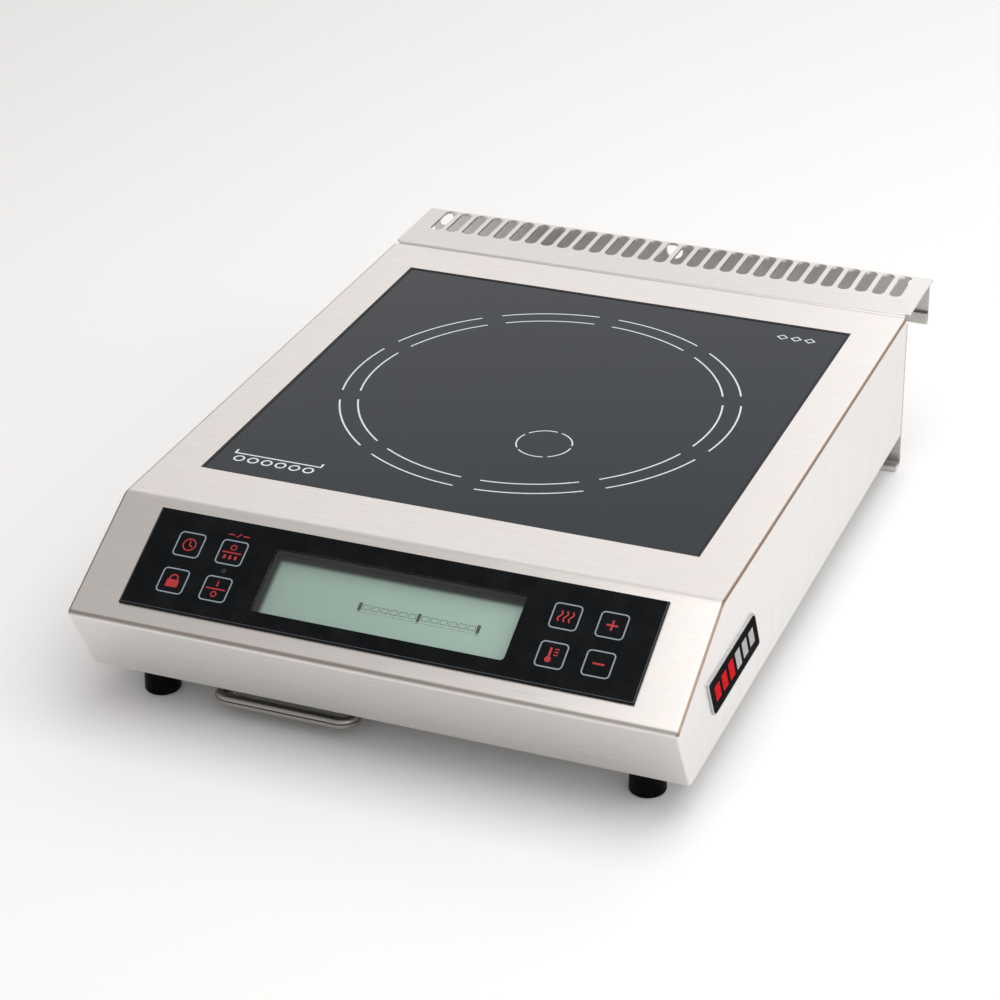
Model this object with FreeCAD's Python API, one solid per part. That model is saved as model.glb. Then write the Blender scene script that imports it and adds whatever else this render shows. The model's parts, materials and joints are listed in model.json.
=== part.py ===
import FreeCAD, Part
import math
import os

os.makedirs("parts", exist_ok=True)

# Countertop induction hob: a folded stainless cover with a glass-ceramic top, a sloped control
# panel, a slotted steam hood behind the top and a pull-out intake filter below.
# Frame: +X to the right, +Y to the back, +Z up.  The origin is on the worktop under the middle
# of the overall footprint.  All sizes are in millimetres.

# ---- cover ------------------------------------------------------------------------------
width = 340.0               # outside width of the cover
top_depth = 360.0           # flat top, from the slope's bend to its back edge
body_height = 81.0          # cover's bottom edge to the top face
slope_run = 70.0            # control slope, measured along Y
slope_drop = 37.5           # control slope, measured along Z
undercut = 22.0             # how far the lower front leans back under the slope
sheet = 1.2                 # stainless sheet of the cover and the base
side_radius = 2.0           # bends along the two sides, outside
back_radius = 2.5           # bend between top and back, outside
crest_radius = 9.0          # bend between top and slope, outside
nose_radius = 3.0           # bend between slope and lower front, outside
heel_radius = 1.6           # bend between lower front and bottom flange, outside
sharp_inside = 0.3          # least inside radius of a bend
bottom_flange = 14.0        # turned-in flange along the bottom edges
back_flange = 12.0          # turned-in flange round the open back

# ---- steam hood and back panel -------------------------------------------------------------
hood_sheet = 1.5
hood_depth = 62.0           # back panel's front face to the outside of the hood
hood_drop = 31.0            # height of the hood's back flange
hood_lip = 8.0              # upturned lip at the bottom of that flange
hood_lip_gap = 5.0          # flange face to the lip's outer face
hood_inset = 1.6            # flange ends stand this far inside the hood's ends
relief_width = 2.5          # bend relief where hood and back panel meet at the sides
relief_length = 4.0
relief_height = 5.0
bend_inside = 1.0           # inside radius of the hood sheet's bends
slot_width = 8.0
slot_length = 32.0
slot_pitch = 11.0
slot_to_edge = 3.0          # slot's back end to the hood's back face
slot_end_margin = 12.0      # cover's side to the first slot
hang_hole_radius = 5.5
hang_hole_drop = 6.0        # hole centre below the top face
hang_hole_inset = 10.0      # outer hole centres from the cover's sides
toe_clearance = 0.6         # back panel's lower edge above the worktop
toe_depth = 9.0             # forward fold at the back panel's lower edge
toe_fold = 6.0              # the closed hem laid on top of that fold
vent_width = 4.0
vent_length = 30.0
vent_pitch = 9.0
vent_span = 234.0
vent_side_room = 50.0       # plain panel beside the vents, at least
vent_top_gap = 12.0         # below the hood's underside

# ---- glass ------------------------------------------------------------------------------
glass_side_margin = 26.0    # cover's side to the opening
glass_front_margin = 38.5   # slope's bend to the opening
glass_back_margin = 34.0    # opening to the back edge
glass_thickness = 4.0
glass_recess = 0.5          # glass face below the top face
seal_width = 1.5
seal_recess = 0.25          # sealant face below the top face
glass_ledge = 11.0          # width of glass carried by the support frame
glass_corner = 1.5
glass_chamfer = 0.3
support_flange = 9.0        # support frame's rim under the cover's top

# ---- control panel ----------------------------------------------------------------------
panel_side_margin = 26.5
panel_top_margin = 6.4      # slope's bend to the panel
panel_height = 61.0         # along the slope
panel_proud = 1.5           # panel's face above the slope
panel_bevel = 0.4
panel_step = 4.0            # rim of the panel that lies on the sheet
panel_fit = 0.5             # panel's back step in the cover's cut-out
key_size = 15.5
key_corner = 2.5
key_gap = 0.15
key_end_offset = 24.5       # panel's end to the outer keys
key_column_gap = 9.5        # between two keys of a row
key_row_gap = 7.5           # between the two rows, with the power light in it
row_shift = 0.9             # keys and window below the panel's middle
key_flange = 1.0            # key's retaining rim beyond its face
key_flange_thickness = 0.8
key_travel = 0.3
key_rest_gap = 0.05         # left between stem and switch when the key is down
key_stem_radius = 1.5
window_end_offset = 72.7    # panel's end to the display window
window_height = 40.0
window_corner = 2.4
led_radius = 1.6
led_gap = 0.1
led_sunk = 0.05             # light's tip below the panel's face
display_depth = 7.0         # slope's face to the display glass
display_glass_thickness = 2.0
display_border = 4.0
display_to_board = 0.4
shroud_corner = 2.0
shroud_gap = 0.1            # shroud's front to the sheet
shroud_margin = 0.5         # shroud's opening outside the window
shroud_rim = 1.2            # rim round the display glass
seat_corner = 1.0
seat_fit = 0.2
seat_gap = 0.05
board_thickness = 1.6
board_margin = 6.0          # display board shorter than the panel's step at each end
board_edge = 1.0            # display board narrower than the panel's step at each edge
switch_size = 6.0
switch_corner = 0.6
switch_height = 3.4
switch_button_radius = 1.75
switch_button_height = 0.7

# ---- badge on the right side ----------------------------------------------------------------
badge_length = 78.0
badge_height = 27.0
badge_slant = 12.5          # top edge ahead of the bottom edge
badge_thickness = 1.0
badge_from_crest = 17.6     # badge's middle behind the slope's bend
badge_below_top = 46.6
badge_round = 8.0
badge_sharp = 1.5
badge_edge = 0.4

# ---- base, feet and filter ------------------------------------------------------------------
foot_height = 19.8
foot_radius = 10.0
foot_top_radius = 9.2
foot_side_inset = 30.0
foot_front_offset = 20.0    # front feet behind the base's front edge
foot_back_offset = 34.0     # back feet ahead of the cover's back edge
foot_recess_radius = 5.2
foot_recess_height = 8.0
base_inset = 2.0            # base plate inside the cover's outline
base_corner = 3.0
side_screw_front = 40.0     # first side screw behind the cover's bottom front edge
side_screw_back = 30.0      # last side screw ahead of the cover's back edge
back_screw_low = 12.0       # lowest back screw above the cover's bottom edge
back_screw_high = 24.0      # highest back screw below the top face
screw_aside = 0.5           # screws outside the middle of their flange
front_screw_shift = 1.5     # front screws behind the middle of their flange
intake_slots = 8
intake_pitch = 8.5
intake_slot_width = 5.0
intake_edge = 1.0           # slots' ends inside the fan's duct
slot_round = 0.49           # end radius of a slot as a share of its width
foot_round = 1.5
screw_radius = 2.0
screw_head_radius = 3.6
screw_head_height = 2.2
screw_head_round = 1.0
screw_cross_width = 0.8
screw_cross_length = 4.0
screw_cross_depth = 1.0
screw_reach = 5.0
screw_clearance = 0.2
filter_width = 84.0
filter_depth = 96.0
filter_height = 6.0
filter_corner = 10.0
filter_rim = 4.0
filter_drop = 5.5           # base's underside to the filter's top
filter_left_offset = 68.0   # cover's left side to the filter
filter_front_offset = 2.0   # filter's front edge behind the cover's bottom edge
filter_mesh_thickness = 2.0
filter_mesh_lift = 1.4
filter_ledge = 2.5          # rim under the mesh
filter_round = 1.8
rail_length = 66.0
rail_start = 26.0           # rail behind the filter's front edge
rail_lip = 4.0
rail_gap = 0.4
rail_sheet = 1.2
rail_flange = 8.0           # rail's foot, welded flat to the base

# ---- fan --------------------------------------------------------------------------------
fan_size = 80.0
fan_height = 25.0
fan_flange_gap = 1.0        # fan behind the cover's front bottom flange
fan_corner = 4.0
fan_hole_spacing = 71.5
fan_duct_radius = 38.0
fan_tip_gap = 0.8
fan_hub_radius = 15.0
fan_spider = 3.0
fan_arm_width = 3.2
fan_arm_reach = 0.5         # arms run this far into the frame
fan_rotor_gap = 1.0         # rotor above the spider
fan_rotor_sunk = 2.0        # rotor below the frame's top
fan_hub_wall = 1.5
fan_blade_chord = 28.0      # before the blades are trimmed to the duct
fan_blade_root = 0.7        # blades run this far into the hub's wall
fan_blades = 7
fan_blade_pitch = 38.0
fan_blade_thickness = 1.3
shaft_radius = 1.5
shaft_clearance = 0.05
bush_wall = 1.5
bush_depth = 8.0
fan_screw_length = 12.0

# ---- coil -------------------------------------------------------------------------------
coil_radius = 98.0
coil_hole_radius = 26.0
coil_height = 5.0
coil_turns = 18
coil_turn_bevel = 0.25      # share of a turn's width
mica_thickness = 0.6
mica_rim = 3.0
glass_to_mica = 0.3
carrier_thickness = 4.0
carrier_rim = 5.0
carrier_lip = 6.0           # carrier inside the coil's hole
ferrite_count = 8
ferrite_length = 56.0
ferrite_width = 14.0
ferrite_height = 6.0
ferrite_start = 8.0         # bars begin outside the coil's hole
coil_plate_side = 206.0
coil_plate_thickness = 1.5
coil_plate_hole = 20.0
coil_plate_corner = 10.0
post_inset = 12.0
post_radius = 3.0
post_clearance = 0.2
post_above = 2.0            # posts show above the coil plate
spring_radius = 5.0
spring_wall = 1.2
spring_length = 14.0
sensor_radius = 6.0
sensor_clearance = 1.5
sensor_gap = 0.1            # sensor's top below the glass
sensor_flange_height = 3.0
sensor_flange_fit = 0.3

# ---- electronics --------------------------------------------------------------------------
board_width = 150.0
board_length = 196.0
board_lift = 8.0
board_corner = 2.0
standoff_radius = 3.0
standoff_inset = 6.0
heatsink_width = 66.0
heatsink_length = 112.0
heatsink_base = 6.0
heatsink_fin = 1.6
heatsink_fins = 10
heatsink_coil_gap = 8.0     # fins' top to the coil plate
heatsink_aside = 22.0       # heatsink's middle to the right of the fan's
heatsink_ahead = 26.0       # heatsink's middle ahead of the glass's
device_width = 16.0
device_height = 21.0
device_thickness = 5.0
device_pitch = 34.0
capacitor_size = (32.0, 20.0, 30.0)
capacitor_corner = 1.0
capacitor_aside = 26.0      # capacitors' middle to the right of the power devices
capacitor_pitch = 28.0
transformer_size = (30.0, 26.0, 24.0)
transformer_corner = 1.5
transformer_behind = 24.0   # transformer's middle behind the heatsink
choke_radius = 17.0
choke_hole_radius = 8.0
choke_height = 15.0
choke_round = 2.5
choke_behind = 38.0         # choke's middle behind the heatsink's
terminal_size = (42.0, 22.0, 22.0)
terminal_shift = 32.0       # terminals beside the gland
terminal_gap = 20.0         # terminals to the back panel
terminal_ways = 3
terminal_well_radius = 3.0
terminal_well_depth = 6.0
gland_bore_radius = 5.0
gland_thread_radius = 10.0
gland_clearance = 0.1
gland_hex = 24.0
gland_side_inset = 50.0     # cover's left side to the gland
gland_lift = 24.0           # gland's axis above the cover's bottom edge
gland_length = 24.0
gland_hex_height = 5.0
gland_cap_taper = 3.0       # cap's radius lost towards its mouth
gland_nut_size = 25.0
gland_nut_thickness = 5.0
gland_thread_spare = 2.0    # thread showing behind the nut
bond_radius = 3.0
bond_inset = 40.0
bond_length = 22.0
bond_inside = 8.0           # stud's length inside the back panel
bond_nut_size = 10.0
bond_nut_height = 4.0
bond_nut_gap = 2.0          # room for the wire's tag between the outer nuts

# ---- wiring that stays inside ---------------------------------------------------------------
ribbon_thickness = 0.8
ribbon_width = 22.0
ribbon_x = 46.0             # ribbon's left edge
ribbon_bend = 2.0
ribbon_tuck = 0.2           # ribbon's start below the middle of the display board
ribbon_fall = (6.0, 13.0)   # first run, back and down from the display board
ribbon_rest = (12.0, 14.0)  # low point, ahead of the power board and above its face
ribbon_entry = (6.0, 10.0)  # last bend, behind that board's front edge and above its face
wire_gap = 0.1              # wires' ends off the boards
lead_radius = 2.2
lead_bend = 5.0
lead_spacing = 9.0          # each coil lead's distance from the middle
lead_outside = 8.0          # leads' drop outside the coil plate
lead_gap = 0.2              # leads off the carrier and the winding
lead_height = 14.0          # leads' low run above the power board
lead_foot_inset = 16.0      # leads' ends inside the power board's edge

# ---- working allowances ----------------------------------------------------------------------
over = 1.0                  # cutters run past the metal by this
touch = 0.001               # places closer than this count as the same

# ---- heights and stations that follow from the sizes above ------------------------------------
body_bottom = foot_height + sheet
top = body_bottom + body_height
slope_angle = math.degrees(math.atan2(slope_drop, slope_run))
nose_turn = math.atan2(slope_drop, slope_run) + math.atan2(body_height - slope_drop, undercut)
nose_lean = (math.atan2(slope_drop, slope_run) - math.atan2(body_height - slope_drop, undercut)) / 2
nose_setback = nose_radius * (math.cos(nose_lean) / math.sin(nose_turn / 2) - 1)
overall_depth = slope_run + top_depth + hood_depth - nose_setback
nose_y = -overall_depth / 2 - nose_setback
crest_y = nose_y + slope_run
back_y = crest_y + top_depth
hood_back_y = back_y + hood_depth
nose_z = top - slope_drop
heel_y = nose_y + undercut
half_width = width / 2
backward = FreeCAD.Vector(0, 1, 0)
downward = FreeCAD.Vector(0, 0, -1)

glass_open_x = width - 2 * glass_side_margin
glass_open_y = top_depth - glass_front_margin - glass_back_margin
glass_mid_y = crest_y + glass_front_margin + glass_open_y / 2
glass_top = top - glass_recess
glass_bottom = glass_top - glass_thickness

panel_width = width - 2 * panel_side_margin
panel_mid = -(panel_top_margin + panel_height / 2)
row_mid = panel_mid - row_shift
window_width = panel_width - 2 * window_end_offset
board_top = -display_depth - display_glass_thickness - display_to_board
outer_key_x = panel_width / 2 - key_end_offset
inner_key_x = outer_key_x - key_size - key_column_gap
upper_row = row_mid + (key_size + key_row_gap) / 2
lower_row = row_mid - (key_size + key_row_gap) / 2

gland_x = -half_width + gland_side_inset
bond_x = half_width - bond_inset
gland_z = body_bottom + gland_lift


# ---- small makers --------------------------------------------------------------------------
def save(name, shape):
    shape.exportStep("parts/" + name + ".step")


def block(x0, x1, y0, y1, z0, z1):
    return Part.makeBox(x1 - x0, y1 - y0, z1 - z0, FreeCAD.Vector(x0, y0, z0))


def rod(radius, height, x, y, z, axis=FreeCAD.Vector(0, 0, 1)):
    return Part.makeCylinder(radius, height, FreeCAD.Vector(x, y, z), axis)


def fuse(shapes):
    whole = shapes[0]
    if len(shapes) > 1:
        whole = whole.multiFuse(shapes[1:])
    return whole.removeSplitter()


def rounded_wire(points, radii, place):
    """A closed outline through points, with an arc of its own radius at each corner."""
    count = len(points)
    corners = []
    for i in range(count):
        here = FreeCAD.Vector(points[i][0], points[i][1], 0)
        before = FreeCAD.Vector(points[i - 1][0], points[i - 1][1], 0)
        after = FreeCAD.Vector(points[(i + 1) % count][0], points[(i + 1) % count][1], 0)
        to_before = (before - here).normalize()
        to_after = (after - here).normalize()
        if radii[i] <= 0:
            corners.append((here, None, here))
            continue
        half = to_before.getAngle(to_after) / 2
        middle = (to_before + to_after).normalize()
        reach = radii[i] / math.tan(half)
        centre = here + middle * (radii[i] / math.sin(half))
        corners.append((here + to_before * reach, centre - middle * radii[i], here + to_after * reach))
    edges = []
    for i in range(count):
        start, crown, end = corners[i]
        if crown is not None:
            edges.append(Part.Arc(place(start), place(crown), place(end)).toShape())
        following = corners[(i + 1) % count][0]
        if end.distanceToPoint(following) > touch:
            edges.append(Part.LineSegment(place(end), place(following)).toShape())
    return Part.Wire(edges)


def side_prism(points, radii, x0, x1):
    """A solid with the given (Y, Z) outline, running from x0 to x1."""
    wire = rounded_wire(points, radii, lambda p: FreeCAD.Vector(x0, p.x, p.y))
    return Part.Face(wire).extrude(FreeCAD.Vector(x1 - x0, 0, 0))


def plate(points, radii, z0, z1):
    """A solid with the given (X, Y) outline, from z0 up to z1."""
    wire = rounded_wire(points, radii, lambda p: FreeCAD.Vector(p.x, p.y, z0))
    return Part.Face(wire).extrude(FreeCAD.Vector(0, 0, z1 - z0))


def round_plate(x, y, size_x, size_y, corner, z0, z1):
    ends_x = (x - size_x / 2, x + size_x / 2)
    ends_y = (y - size_y / 2, y + size_y / 2)
    points = []
    for a, b in ((0, 0), (1, 0), (1, 1), (0, 1)):
        points.append((ends_x[a], ends_y[b]))
    return plate(points, [corner] * 4, z0, z1)


def offset_path(points, distance):
    """The open path moved to its left by distance, with mitred corners."""
    moved = []
    for i, point in enumerate(points):
        sides = []
        if i > 0:
            sides.append((points[i - 1], point))
        if i < len(points) - 1:
            sides.append((point, points[i + 1]))
        normals = []
        for start, end in sides:
            length = math.hypot(end[0] - start[0], end[1] - start[1])
            normals.append(((start[1] - end[1]) / length, (end[0] - start[0]) / length))
        if len(normals) == 1:
            shift = normals[0]
        else:
            total = (normals[0][0] + normals[1][0], normals[0][1] + normals[1][1])
            scale = 2 / (total[0] ** 2 + total[1] ** 2)
            shift = (total[0] * scale, total[1] * scale)
        moved.append((point[0] + shift[0] * distance, point[1] + shift[1] * distance))
    return moved


def bent_sheet(points, thickness, inside, x0, x1):
    """Sheet folded along a (Y, Z) path, lying to the left of it, with true bend radii."""
    far = offset_path(points, thickness)
    near_radii = []
    far_radii = []
    for i in range(len(points)):
        if i in (0, len(points) - 1):
            near_radii.append(0)
            far_radii.append(0)
            continue
        ahead = (points[i + 1][0] - points[i][0], points[i + 1][1] - points[i][1])
        behind = (points[i][0] - points[i - 1][0], points[i][1] - points[i - 1][1])
        turns_left = behind[0] * ahead[1] - behind[1] * ahead[0] > 0
        near_radii.append(inside + thickness if turns_left else inside)
        far_radii.append(inside if turns_left else inside + thickness)
    return side_prism(points + far[::-1], near_radii + far_radii[::-1], x0, x1)


def on_slope(shape):
    """Places a shape drawn flat, with Z out of the panel and Y up the slope, on the slope."""
    placed = shape.copy()
    turn = FreeCAD.Rotation(FreeCAD.Vector(1, 0, 0), slope_angle)
    placed.Placement = FreeCAD.Placement(FreeCAD.Vector(0, crest_y, top), turn).multiply(placed.Placement)
    return placed


def pan_screw(x, y, z, direction, reach):
    """A pan-head screw: its head starts at the point and the shank runs the other way."""
    head = rod(screw_head_radius, screw_head_height, x, y, z, direction)
    rim = [edge for edge in head.Edges if is_far(edge, x, y, z, direction)]
    head = head.makeFillet(screw_head_round, rim)
    shank = rod(screw_radius, reach, x, y, z, direction * -1)
    across = FreeCAD.Vector(direction.z, direction.x, direction.y)
    along = direction.cross(across)
    notch = []
    for first, second in ((across, along), (along, across)):
        corner = FreeCAD.Vector(x, y, z) + direction * (screw_head_height - screw_cross_depth)
        corner = corner - first * (screw_cross_length / 2) - second * (screw_cross_width / 2)
        reach_a = first * screw_cross_length
        reach_b = second * screw_cross_width
        outline = [corner, corner + reach_a, corner + reach_a + reach_b, corner + reach_b, corner]
        notch.append(Part.Face(Part.makePolygon(outline)).extrude(direction * screw_head_height))
    return head.fuse(shank).cut(notch[0]).cut(notch[1])


def is_far(edge, x, y, z, direction):
    """True for the head's outer rim."""
    centre = edge.BoundBox.Center - FreeCAD.Vector(x, y, z)
    return edge.Closed and centre.dot(direction) > screw_head_height / 2


# ---- cover -------------------------------------------------------------------------------
def cover_outline(inset):
    """Side view of the cover, moved inwards by inset."""
    path = [(back_y, body_bottom), (back_y, top), (crest_y, top), (nose_y, nose_z), (heel_y, body_bottom)]
    closed = [path[-1]] + path + [path[0]]
    moved = offset_path(closed, inset)
    return moved[1:-1]


def cover_prism(inset, x_inset):
    radii = [0, back_radius - inset, crest_radius - inset, nose_radius - inset,
             max(heel_radius - inset, sharp_inside)]
    return side_prism(cover_outline(inset), radii, -half_width + x_inset, half_width - x_inset)


def side_edges(shape, x, lowest):
    """The edges of a prism's end at x that run along its top, slope and lower front."""
    found = []
    for edge in shape.Edges:
        bound = edge.BoundBox
        at_end = abs(bound.XMin - x) < touch and abs(bound.XMax - x) < touch
        upright_back = bound.YMin > back_y - back_radius - touch and bound.ZLength > back_radius + over
        if at_end and bound.ZMax > lowest and not upright_back:
            found.append(edge)
    return found


def make_cover():
    outer = cover_prism(0, 0)
    for x in (-half_width, half_width):
        outer = outer.makeFillet(side_radius, side_edges(outer, x, body_bottom + over))
    cavity = cover_prism(sheet, sheet)
    shell = outer.cut(cavity)
    bottom_open = block(-half_width + bottom_flange, half_width - bottom_flange,
                        heel_y + bottom_flange, back_y + over, body_bottom - over,
                        body_bottom + sheet + touch)
    back_open = block(-half_width + back_flange, half_width - back_flange,
                      back_y - sheet - touch, back_y + over, body_bottom - over, top - back_flange)
    glass_open = block(-glass_open_x / 2, glass_open_x / 2,
                       glass_mid_y - glass_open_y / 2, glass_mid_y + glass_open_y / 2,
                       top - sheet - over, top + over)
    panel_open = on_slope(block(-panel_width / 2 + panel_step, panel_width / 2 - panel_step,
                                panel_mid - panel_height / 2 + panel_step,
                                panel_mid + panel_height / 2 - panel_step, -sheet - over, over))
    shell = shell.cut(bottom_open).cut(back_open).cut(glass_open).cut(panel_open)
    for x, y in base_screw_places():
        shell = shell.cut(rod(screw_radius, sheet + 2 * over, x, y, body_bottom - over))
    for x, z in back_screw_places():
        shell = shell.cut(rod(screw_radius, sheet + 2 * over, x, back_y - sheet - over, z, backward))
    return shell


def base_screw_places():
    side_x = half_width - bottom_flange / 2 - screw_aside
    rows = (heel_y + side_screw_front, (heel_y + back_y) / 2, back_y - side_screw_back)
    front_row = heel_y + bottom_flange / 2 + front_screw_shift
    places = [(side * side_x, y) for side in (-1, 1) for y in rows]
    return places + [(side * width / 4, front_row) for side in (-1, 1)]


def back_screw_places():
    side_x = half_width - back_flange / 2 - screw_aside
    low = body_bottom + back_screw_low
    high = top - back_screw_high
    heights = (low, (low + high) / 2, high)
    return [(side * side_x, z) for side in (-1, 1) for z in heights]


save("cover", make_cover())


# ---- glass, its support frame and its seal --------------------------------------------------
def centred_block(size_x, size_y, z0, z1):
    return block(-size_x / 2, size_x / 2, glass_mid_y - size_y / 2, glass_mid_y + size_y / 2, z0, z1)


glass_x = glass_open_x - 2 * seal_width
glass_y = glass_open_y - 2 * seal_width
under_top = top - sheet
frame_wall_x = glass_open_x + 2 * sheet
frame_wall_y = glass_open_y + 2 * sheet
ledge_x = glass_x - 2 * glass_ledge
ledge_y = glass_y - 2 * glass_ledge

support = centred_block(frame_wall_x + 2 * support_flange, frame_wall_y + 2 * support_flange,
                        under_top - sheet, under_top)
support = support.fuse(centred_block(frame_wall_x, frame_wall_y, glass_bottom - sheet, under_top))
support = support.cut(centred_block(glass_open_x, glass_open_y, glass_bottom, under_top + over))
support = support.cut(centred_block(ledge_x, ledge_y, glass_bottom - sheet - over, under_top + over))
save("glass_support", support.removeSplitter())

glass = round_plate(0, glass_mid_y, glass_x, glass_y, glass_corner, glass_bottom, glass_top)
top_edges = [edge for edge in glass.Edges if edge.BoundBox.ZMin > glass_top - touch]
glass = glass.makeChamfer(glass_chamfer, top_edges)
save("glass_plate", glass)

seal = centred_block(glass_open_x, glass_open_y, glass_bottom, top - seal_recess)
glass_room = round_plate(0, glass_mid_y, glass_x, glass_y, glass_corner, glass_bottom - over,
                         top + over)
save("glass_seal", seal.cut(glass_room))


# ---- back panel with the slotted steam hood ---------------------------------------------------
def make_back_panel():
    front_face = back_y
    lip_bottom = top - hood_drop
    path = [
        (hood_back_y - hood_lip_gap, lip_bottom + hood_lip),
        (hood_back_y - hood_lip_gap, lip_bottom),
        (hood_back_y, lip_bottom),
        (hood_back_y, top),
        (front_face, top),
        (front_face, toe_clearance + hood_sheet),
        (front_face - toe_depth, toe_clearance + hood_sheet),
    ]
    whole = bent_sheet(path, hood_sheet, bend_inside, -half_width, half_width)
    hem = block(-half_width, half_width, front_face - toe_depth, front_face - toe_depth + toe_fold,
                toe_clearance + hood_sheet, toe_clearance + 2 * hood_sheet)
    whole = whole.fuse(hem).removeSplitter()
    for side in (-1, 1):
        end = side * half_width
        inner = end - side * hood_inset
        whole = whole.cut(block(min(end, inner), max(end, inner), hood_back_y - hood_sheet - hood_lip_gap,
                                hood_back_y + over, lip_bottom - over, top - hood_sheet - bend_inside))
        relief = end - side * relief_width
        whole = whole.cut(block(min(end, relief), max(end, relief), front_face - over,
                                front_face + relief_length, top - relief_height, top + over))
    return whole


def cut_back_openings(whole):
    usable = width - 2 * slot_end_margin - slot_width
    slots = int(usable // slot_pitch) + 1
    slot_mid = hood_back_y - slot_to_edge - slot_length / 2
    cutters = []
    for i in range(slots):
        x = (i - (slots - 1) / 2) * slot_pitch
        cutters.append(round_plate(x, slot_mid, slot_width, slot_length, slot_width * slot_round,
                                   top - hood_sheet - over, top + over))
    vents = int(min(vent_span, width - 2 * vent_side_room) // vent_pitch) + 1
    vent_top = top - hood_sheet - vent_top_gap
    for i in range(vents):
        x = (i - (vents - 1) / 2) * vent_pitch
        flat = round_plate(x, vent_top - vent_length / 2, vent_width, vent_length, vent_width * slot_round,
                           -hood_sheet - over, over)
        flat.rotate(FreeCAD.Vector(0, 0, 0), FreeCAD.Vector(1, 0, 0), 90)
        flat.translate(FreeCAD.Vector(0, back_y, 0))
        cutters.append(flat)
    outer_hole = half_width - hang_hole_inset
    for x in (-outer_hole, 0, outer_hole):
        cutters.append(rod(hang_hole_radius, hood_sheet + 2 * over, x, hood_back_y - hood_sheet - over,
                           top - hang_hole_drop, backward))
    round_holes = [(screw_radius + screw_clearance, x, z) for x, z in back_screw_places()]
    round_holes.append((gland_thread_radius + gland_clearance, gland_x, gland_z))
    round_holes.append((bond_radius + gland_clearance, bond_x, gland_z))
    for radius, x, z in round_holes:
        cutters.append(rod(radius, hood_sheet + 2 * over, x, back_y - over, z, backward))
    return whole.cut(Part.makeCompound(cutters))


save("back_panel", cut_back_openings(make_back_panel()))

screws = [pan_screw(x, back_y + hood_sheet, z, backward, screw_reach) for x, z in back_screw_places()]
save("back_screws", Part.makeCompound(screws))


# ---- cord gland and bonding stud ---------------------------------------------------------------
def hexagon(across_flats, y0, y1, x, z):
    corner = across_flats / math.sqrt(3)
    points = []
    for i in range(7):
        angle = math.radians(60 * i + 30)
        points.append(FreeCAD.Vector(x + corner * math.cos(angle), y0, z + corner * math.sin(angle)))
    return Part.Face(Part.makePolygon(points)).extrude(FreeCAD.Vector(0, y1 - y0, 0))


panel_back = back_y + hood_sheet
gland_inner = back_y - gland_nut_thickness - gland_thread_spare
gland = rod(gland_thread_radius, panel_back - gland_inner, gland_x, gland_inner, gland_z, backward)
cap_start = panel_back + gland_hex_height
gland = gland.fuse(hexagon(gland_hex, panel_back, cap_start, gland_x, gland_z))
cap = Part.makeCone(gland_hex / 2, gland_hex / 2 - gland_cap_taper, gland_length - gland_hex_height,
                    FreeCAD.Vector(gland_x, cap_start, gland_z), backward)
gland = gland.fuse(cap)
bore_length = panel_back + gland_length - gland_inner
gland = gland.cut(rod(gland_bore_radius, bore_length + 2 * over, gland_x, gland_inner - over, gland_z,
                      backward))
save("cord_gland", gland.removeSplitter())

nut = hexagon(gland_nut_size, back_y - gland_nut_thickness, back_y, gland_x, gland_z)
nut = nut.cut(rod(gland_thread_radius, gland_nut_thickness + 2 * over, gland_x,
                  back_y - gland_nut_thickness - over, gland_z, backward))
save("gland_nut", nut)

stud = rod(bond_radius, bond_length, bond_x, back_y - bond_inside, gland_z, backward)
save("bonding_stud", stud)
outer_nut = panel_back + bond_nut_height + bond_nut_gap
bond_nuts = []
for y in (back_y - bond_nut_height, panel_back, outer_nut):
    bond_nuts.append(hexagon(bond_nut_size, y, y + bond_nut_height, bond_x, gland_z))
save("bonding_nuts", Part.makeCompound([item.cut(stud) for item in bond_nuts]))

# ---- base plate, its screws and the feet ---------------------------------------------------------
filter_x = -half_width + filter_left_offset + filter_width / 2
filter_y = heel_y + filter_front_offset + filter_depth / 2
fan_x = filter_x
fan_y = heel_y + bottom_flange + fan_flange_gap + fan_size / 2
base_bottom = body_bottom - sheet
base_front = heel_y + base_inset
base_back = back_y - base_inset
foot_x = half_width - foot_side_inset
foot_places = {
    "foot_front_left": (-foot_x, heel_y + foot_front_offset),
    "foot_front_right": (foot_x, heel_y + foot_front_offset),
    "foot_back_left": (-foot_x, back_y - foot_back_offset),
    "foot_back_right": (foot_x, back_y - foot_back_offset),
}


def standoff_places():
    x = board_width / 2 - standoff_inset
    y = board_length / 2 - standoff_inset
    return [(a * x, glass_mid_y + b * y) for a in (-1, 1) for b in (-1, 1)]


def post_places():
    reach = coil_plate_side / 2 - post_inset
    return [(a * reach, glass_mid_y + b * reach) for a in (-1, 1) for b in (-1, 1)]


base_mid = (base_front + base_back) / 2
base = round_plate(0, base_mid, width - 2 * base_inset, base_back - base_front, base_corner,
                   base_bottom, body_bottom)
base_cutters = []
for x, y in base_screw_places():
    base_cutters.append(rod(screw_radius + screw_clearance, sheet + 2 * over, x, y, base_bottom - over))
for x, y in foot_places.values():
    base_cutters.append(rod(screw_radius, sheet + 2 * over, x, y, base_bottom - over))
for i in range(intake_slots):
    y = fan_y + (i - (intake_slots - 1) / 2) * intake_pitch
    half_chord = math.sqrt((fan_duct_radius - intake_edge) ** 2 - (y - fan_y) ** 2)
    base_cutters.append(round_plate(fan_x, y, 2 * half_chord, intake_slot_width,
                                     intake_slot_width * slot_round, base_bottom - over, body_bottom + over))
save("base_plate", base.cut(Part.makeCompound(base_cutters)))

screws = [pan_screw(x, y, base_bottom, downward, screw_reach) for x, y in base_screw_places()]
save("base_screws", Part.makeCompound(screws))

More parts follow.
